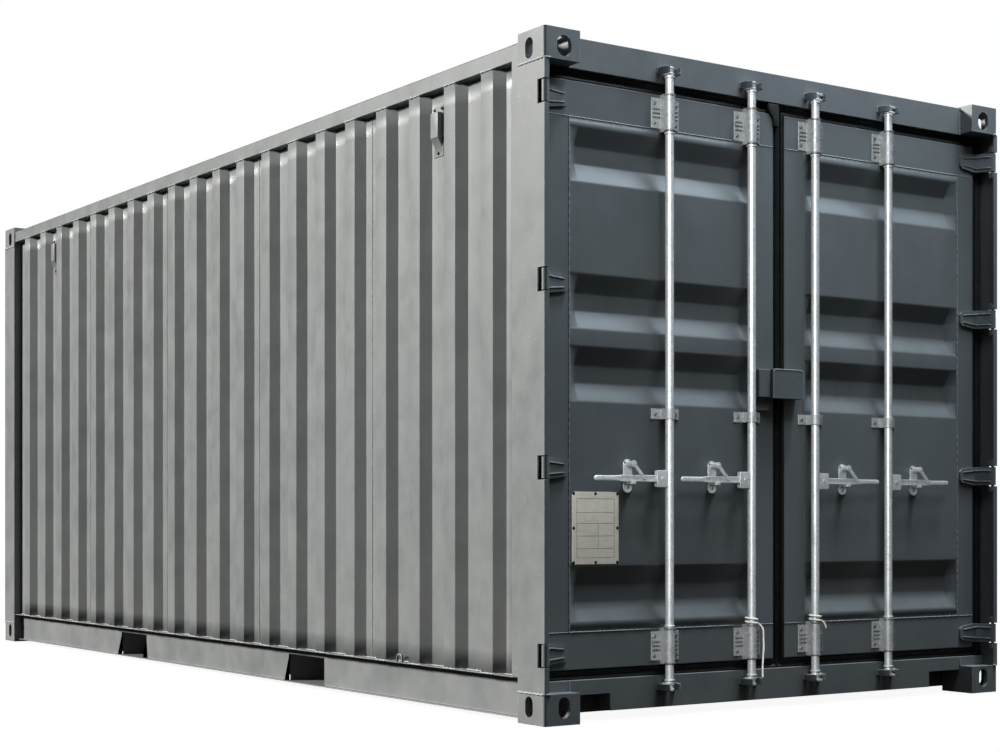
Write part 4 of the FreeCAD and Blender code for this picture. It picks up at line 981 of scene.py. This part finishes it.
bracket = {"spans": ((2.278, 2.424), (0.202, 0.343)), "middle": 1.178, "plate": 0.004, "wing": 0.053,
           "middleWing": 0.050, "rivetRise": 0.038, "rivet": (0.0082, 0.0042), "ribs": (-0.016, 0.0, 0.016),
           "rib": (0.026, 0.062), "ribRound": 0.0036, "sleeveEnd": 0.004, "overlap": 4,
           "ring": ((0.0223, -0.004), (0.0243, -0.003), (0.0248, 0.0), (0.0243, 0.003), (0.0223, 0.004))}
retainer = {"fromBar": 0.182, "heads": ((0.0, 0.889), (-0.014, 0.986), (0.014, 0.986)),
            "head": (0.0055, 0.003)}


def sleeveRing(barX, level):
    # a rounded band over the front half of a sleeve: its profile of (radius, height) turned past a half turn
    ring = np.array(bracket["ring"])
    angle = np.radians(np.linspace(180 - bracket["overlap"], 360 + bracket["overlap"], 15))
    flat = ring[:, None, :1] * np.stack([np.cos(angle), np.sin(angle)], -1)[None]
    grid = placed(flat, ring[:, 1][:, None], "z") + np.array([barX, barY, level])
    return surface(grid.transpose(1, 0, 2), wrapColumns=True, capStart=True, capEnd=True)


plateFace = leafFront - bracket["plate"]
for side, sign in sides.items():
    parts = []
    for place in gear["bars"].values():
        barX = sign * place
        for low, high in bracket["spans"]:
            middle = (low + high) / 2
            for wing in (-1, 1):
                for dz in (-bracket["rivetRise"], bracket["rivetRise"]):
                    centre = (barX + wing * bracket["wing"], plateFace, middle + dz)
                    parts.append(domeHead(centre, *bracket["rivet"]))
                for dz in bracket["ribs"]:
                    rib = [(barX + wing * x, plateFace - 0.0005, middle + dz) for x in bracket["rib"]]
                    parts.append(carry(stretchLine(rib, 0.008), circle(bracket["ribRound"], 8)))
            parts.append(sleeveRing(barX, low + bracket["sleeveEnd"]))
            parts.append(sleeveRing(barX, high - bracket["sleeveEnd"]))
        for wing in (-1, 1):
            centre = (barX + wing * bracket["middleWing"], plateFace, bracket["middle"])
            parts.append(domeHead(centre, *bracket["rivet"]))
        for dx, level in retainer["heads"]:
            centre = (sign * (place + retainer["fromBar"]) + dx, plateFace, level)
            parts.append(domeHead(centre, *retainer["head"]))
    # the rivets, ribs, sleeve rings and retainer heads are near-black: painted shade
    addPiece(side + "_door_rivets", together(parts), side + "_door", "galvanised", rivetZincPaintedShade)
print("stage: locking gear made")


hinge = {"heights": (0.261, 0.958, 1.655, 2.352), "rib": 0.0042, "ribStep": 0.006,
         # a rib of the right side's hinge: (x, y, distance from the hinge's middle)
         "route": ((1.1975, -3.0205, 0.024), (1.1900, -3.0175, 0.024), (1.1640, -2.9615, 0.024),
                   (1.1560, -2.9565, 0.02328), (1.0800, -2.9565, 0.016), (1.0700, -2.9545, 0.016)),
         "strap": ((1.145, -0.036), (1.075, -0.026), (1.066, -0.018), (1.066, 0.018), (1.075, 0.026),
                   (1.145, 0.036)), "strapY": -2.9478, "strapWeld": 0.0028,
         "pin": (1.205, -3.015), "pinRise": 0.0685, "pinHead": (0.0095, 0.004)}
for side, sign in sides.items():
    parts, pinHeads = [], []
    for height in hinge["heights"]:
        for away in (-1, 1):
            path = stretchLine([(x, y, height + away * z) for x, y, z in hinge["route"]], hinge["ribStep"])
            fromEnd = np.minimum(np.arange(len(path)), np.arange(len(path))[::-1])
            fade = np.clip(fromEnd / 2.5, 0.25, 1)
            parts.append(mirrored(carry(path, circle(hinge["rib"], 8), scale=fade), sign))
            pinEnd = (*hinge["pin"], height + away * hinge["pinRise"])
            pinHeads.append(mirrored(domeHead(pinEnd, *hinge["pinHead"], "z", away), sign))
        rim = [(x, hinge["strapY"], height + z) for x, z in hinge["strap"]]
        parts.append(mirrored(bead(rim, hinge["strapWeld"], 33), sign))
    addPiece(side + "_hinge_ribs", together(parts), side + "_door", "frame_paint", framePaint)
    addPiece("pin_heads_" + side, together(pinHeads), "root", "frame_paint", framePaint)

keeperWeld = {"levels": (0.113, 2.513), "aside": 0.0445, "y": -2.9575, "span": (-0.010, 0.016),
              "size": 0.0035}
parts = []
for place in gear["bars"].values():
    for level in keeperWeld["levels"]:
        for barX in (-place, place):
            for x in (barX - keeperWeld["aside"], barX + keeperWeld["aside"]):
                line = [(x, keeperWeld["y"], level + dz) for dz in keeperWeld["span"]]
                parts.append(bead(line, keeperWeld["size"], 44, upright))
addPiece("keeper_welds", together(parts), "root", "frame_paint", paleWeldPaintedHighlight, smoothAngle=80)

vent = {"face": 1.1805, "height": 2.339, "wave": 8, "bolts": ((-0.030, 0.089), (0.030, 0.089), (0.0, -0.089)),
        "bolt": (0.013, 0.006)}
parts = []
for sign in (-1, 1):
    for end in (-1, 1):
        for dy, dz in vent["bolts"]:
            place = (vent["face"], end * vent["wave"] * wall["pitch"] + dy, vent["height"] + dz)
            parts.append(mirrored(boltHead(place, *vent["bolt"], "x", 1), sign))
addPiece("vent_bolts", together(parts), "root", "frame_paint", rubber)

plate = {"corner": 0.012, "rivets": (0.103, 0.131), "rivet": (0.0062, 0.0024), "line": 0.0009,
         "proud": 0.0005, "sunk": 0.0002, "half": 0.088,
         "across": (0.112, 0.060, 0.018, -0.030, -0.078, -0.112),
         "down": ((-0.088, -0.112, 0.112), (0.088, -0.112, 0.112), (0.012, -0.078, 0.018))}
low, high = box["data_plate"]
middle = (low + high) / 2
face = low[1]
outline = rectangle(low[0], high[0], low[2], high[2], plate["corner"])
blank = slab(outline, "y", high[1], face, 0.0006)
piece = addPiece("blank_plate", blank, "left_door", "data_metal", plateMetal)
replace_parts(piece, "data_plate")
aside, rise = plate["rivets"]
parts = [domeHead((middle[0] + dx, face, middle[2] + dz), *plate["rivet"])
         for dx in (-aside, 0, aside) for dz in (-rise, 0, rise) if dx or dz]
addPiece("plate_rivets", together(parts), "left_door", "seal_rubber", rubber)


def rule(x0, x1, z0, z1):
    # a thin ruled line on the plate, from one place to another
    thinX, thinZ = (x0 == x1) * plate["line"], (z0 == z1) * plate["line"]
    return block((middle[0] + x0 - thinX, face - plate["proud"], middle[2] + z0 - thinZ),
                 (middle[0] + x1 + thinX, face + plate["sunk"], middle[2] + z1 + thinZ), 0.0003)


parts = [rule(-plate["half"], plate["half"], z, z) for z in plate["across"]]
parts += [rule(x, x, z0, z1) for x, z0, z1 in plate["down"]]
addPiece("plate_rules", together(parts), "left_door", "data_metal", plateInk)

rim = {"inset": 0.002, "proud": 0.001, "size": 0.0024, "step": 0.02}
low, high = box["right_lock_box"]
x0, x1, y, top = low[0] + rim["inset"], high[0] - rim["inset"], low[1] + rim["proud"], high[2] - rim["inset"]
line = stretchLine([(x0, y, low[2]), (x0, y, top), (x1, y, top), (x1, y, low[2])], rim["step"])
addPiece("lock_box_rim", carry(line, circle(rim["size"], 8), upright), "right_door", "frame_paint", paleWeldPaintedHighlight)

rod = {"round": 0.005, "x": 1.2015, "foot": 0.172, "bend": 0.014}
low, high = box["tie_back_hooks"]
y0, y1, top = low[1] + rod["round"], high[1] - rod["round"], high[2] - rod["round"]
corners = [(y0, rod["foot"]), (y0, top), (y1, top), (y1, rod["foot"])]
flat = roundCorners(corners, rod["bend"], 5, closed=False)
path = np.column_stack([np.full(len(flat), rod["x"]), flat])
tie = carry(path, circle(rod["round"]), (1, 0, 0))
for side, sign in sides.items():
    piece = addPiece("tie_rod_" + side, mirrored(tie, sign), "root", "frame_paint", framePaint)
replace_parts(piece, "tie_back_hooks")

plank = {"count": 6, "gap": 0.003, "edge": 0.002, "endBoard": 2.849, "half": 1.057,
         "screw": (0.0055, 0.0006), "screwInset": 0.03, "screwRows": (-2.8, 2.81, 0.56)}
low, high = box["floor_boards"]
edgesX = np.linspace(low[0], high[0], plank["count"] + 1)
planks, screws = [], []
for left, right in zip(edgesX[:-1], edgesX[1:]):
    planks.append(block((left + plank["gap"] / 2, low[1], low[2]),
                        (right - plank["gap"] / 2, plank["endBoard"], high[2]), plank["edge"]))
    for x in (left + plank["screwInset"], right - plank["screwInset"]):
        for y in np.arange(*plank["screwRows"]):
            screws.append(domeHead((x, y, high[2] - 0.0002), *plank["screw"], "z", 1, 8))
planks.append(block((-plank["half"], plank["endBoard"] + 0.0002, low[2]), (plank["half"], high[1], high[2]),
                    plank["edge"]))
piece = addPiece("floor_planks", together(planks), "root", "plywood", plywood)
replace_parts(piece, "floor_boards")
addPiece("floor_screws", together(screws), "root", "galvanised", zinc)
print("stage: fittings made")


rope = {"diameter": 0.007, "strand": 0.0019, "strands": 3, "lay": 0.020, "fill": 1.12, "sink": 0.8,
        "loop": 0.025, "seat": 0.3468, "rise": 0.024, "fall": 0.016, "start": 150.0, "turns": 1.5, "steps": 8,
        "up": (0.31, 0.52, 0.80)}    # a direction that no part of the rope runs along
tails = {
    "left": [(0.044, -0.014, 0.332), (0.052, -0.012, 0.312), (0.054, -0.010, 0.284), (0.056, -0.009, 0.244),
             (0.053, -0.008, 0.200), (0.050, -0.008, 0.160), (0.052, -0.008, 0.128)],
    "right": [(0.044, -0.012, 0.334), (0.052, -0.008, 0.316)],
}


def followed(route, name):
    # the line that a smooth curve with these control points takes, at even steps
    curve = bpy.data.curves.new(name, "CURVE")
    curve.dimensions = "3D"
    spline = curve.splines.new("NURBS")
    spline.points.add(len(route) - 1)
    spline.points.foreach_set("co", np.column_stack([route, np.ones(len(route))]).ravel())
    spline.order_u = 3
    spline.use_endpoint_u = True
    spline.resolution_u = 12
    guide = bpy.data.objects.new(name, curve)
    line = bpy.data.meshes.new_from_object(guide)
    points = np.zeros(len(line.vertices) * 3)
    line.vertices.foreach_get("co", points)
    bpy.data.objects.remove(guide)
    return stretchLine(points.reshape(-1, 3), 0.0025)


def strandsAlong(path, run):
    # each strand is path + away x (cos a, sin a) across it, where a grows with the length run
    ahead = unit(np.gradient(path, axis=0))
    across = unit(np.cross(ahead, rope["up"]))
    other = np.cross(ahead, across)
    away = rope["diameter"] / 2 - rope["strand"] * rope["sink"]
    profile = circle(rope["strand"] * rope["fill"], 8)
    parts = []
    for number in range(rope["strands"]):
        turn = 2 * math.pi * (run / rope["lay"] + number / rope["strands"])
        centre = path + away * (np.cos(turn)[:, None] * across + np.sin(turn)[:, None] * other)
        parts.append(carry(centre, profile, rope["up"]))
    return together(parts)


for side, sign in sides.items():
    barX = sign * gear["bars"]["inner"]
    step = np.arange(int(rope["turns"] * rope["steps"]) + 1)
    angle = np.radians(rope["start"] + 360 * step / rope["steps"])
    loop = np.stack([barX + rope["loop"] * np.cos(angle), barY + rope["loop"] * np.sin(angle),
                     rope["seat"] + rope["rise"] - rope["fall"] * step / rope["steps"]], 1)
    route = np.concatenate([loop, np.array(tails[side]) + np.array([barX, barY, 0.0])])
    path = followed(route, side + "_rope_line")
    run = np.concatenate([[0], np.cumsum(np.linalg.norm(np.diff(path, axis=0), axis=1))])
    twisted = strandsAlong(path, run)
    cord = addPiece(side + "_twisted_rope", twisted, bodyOf[side + "_rope"], "rope_fibre", ropeFibre)
    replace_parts(cord, side + "_rope")
print("stage: ropes made")
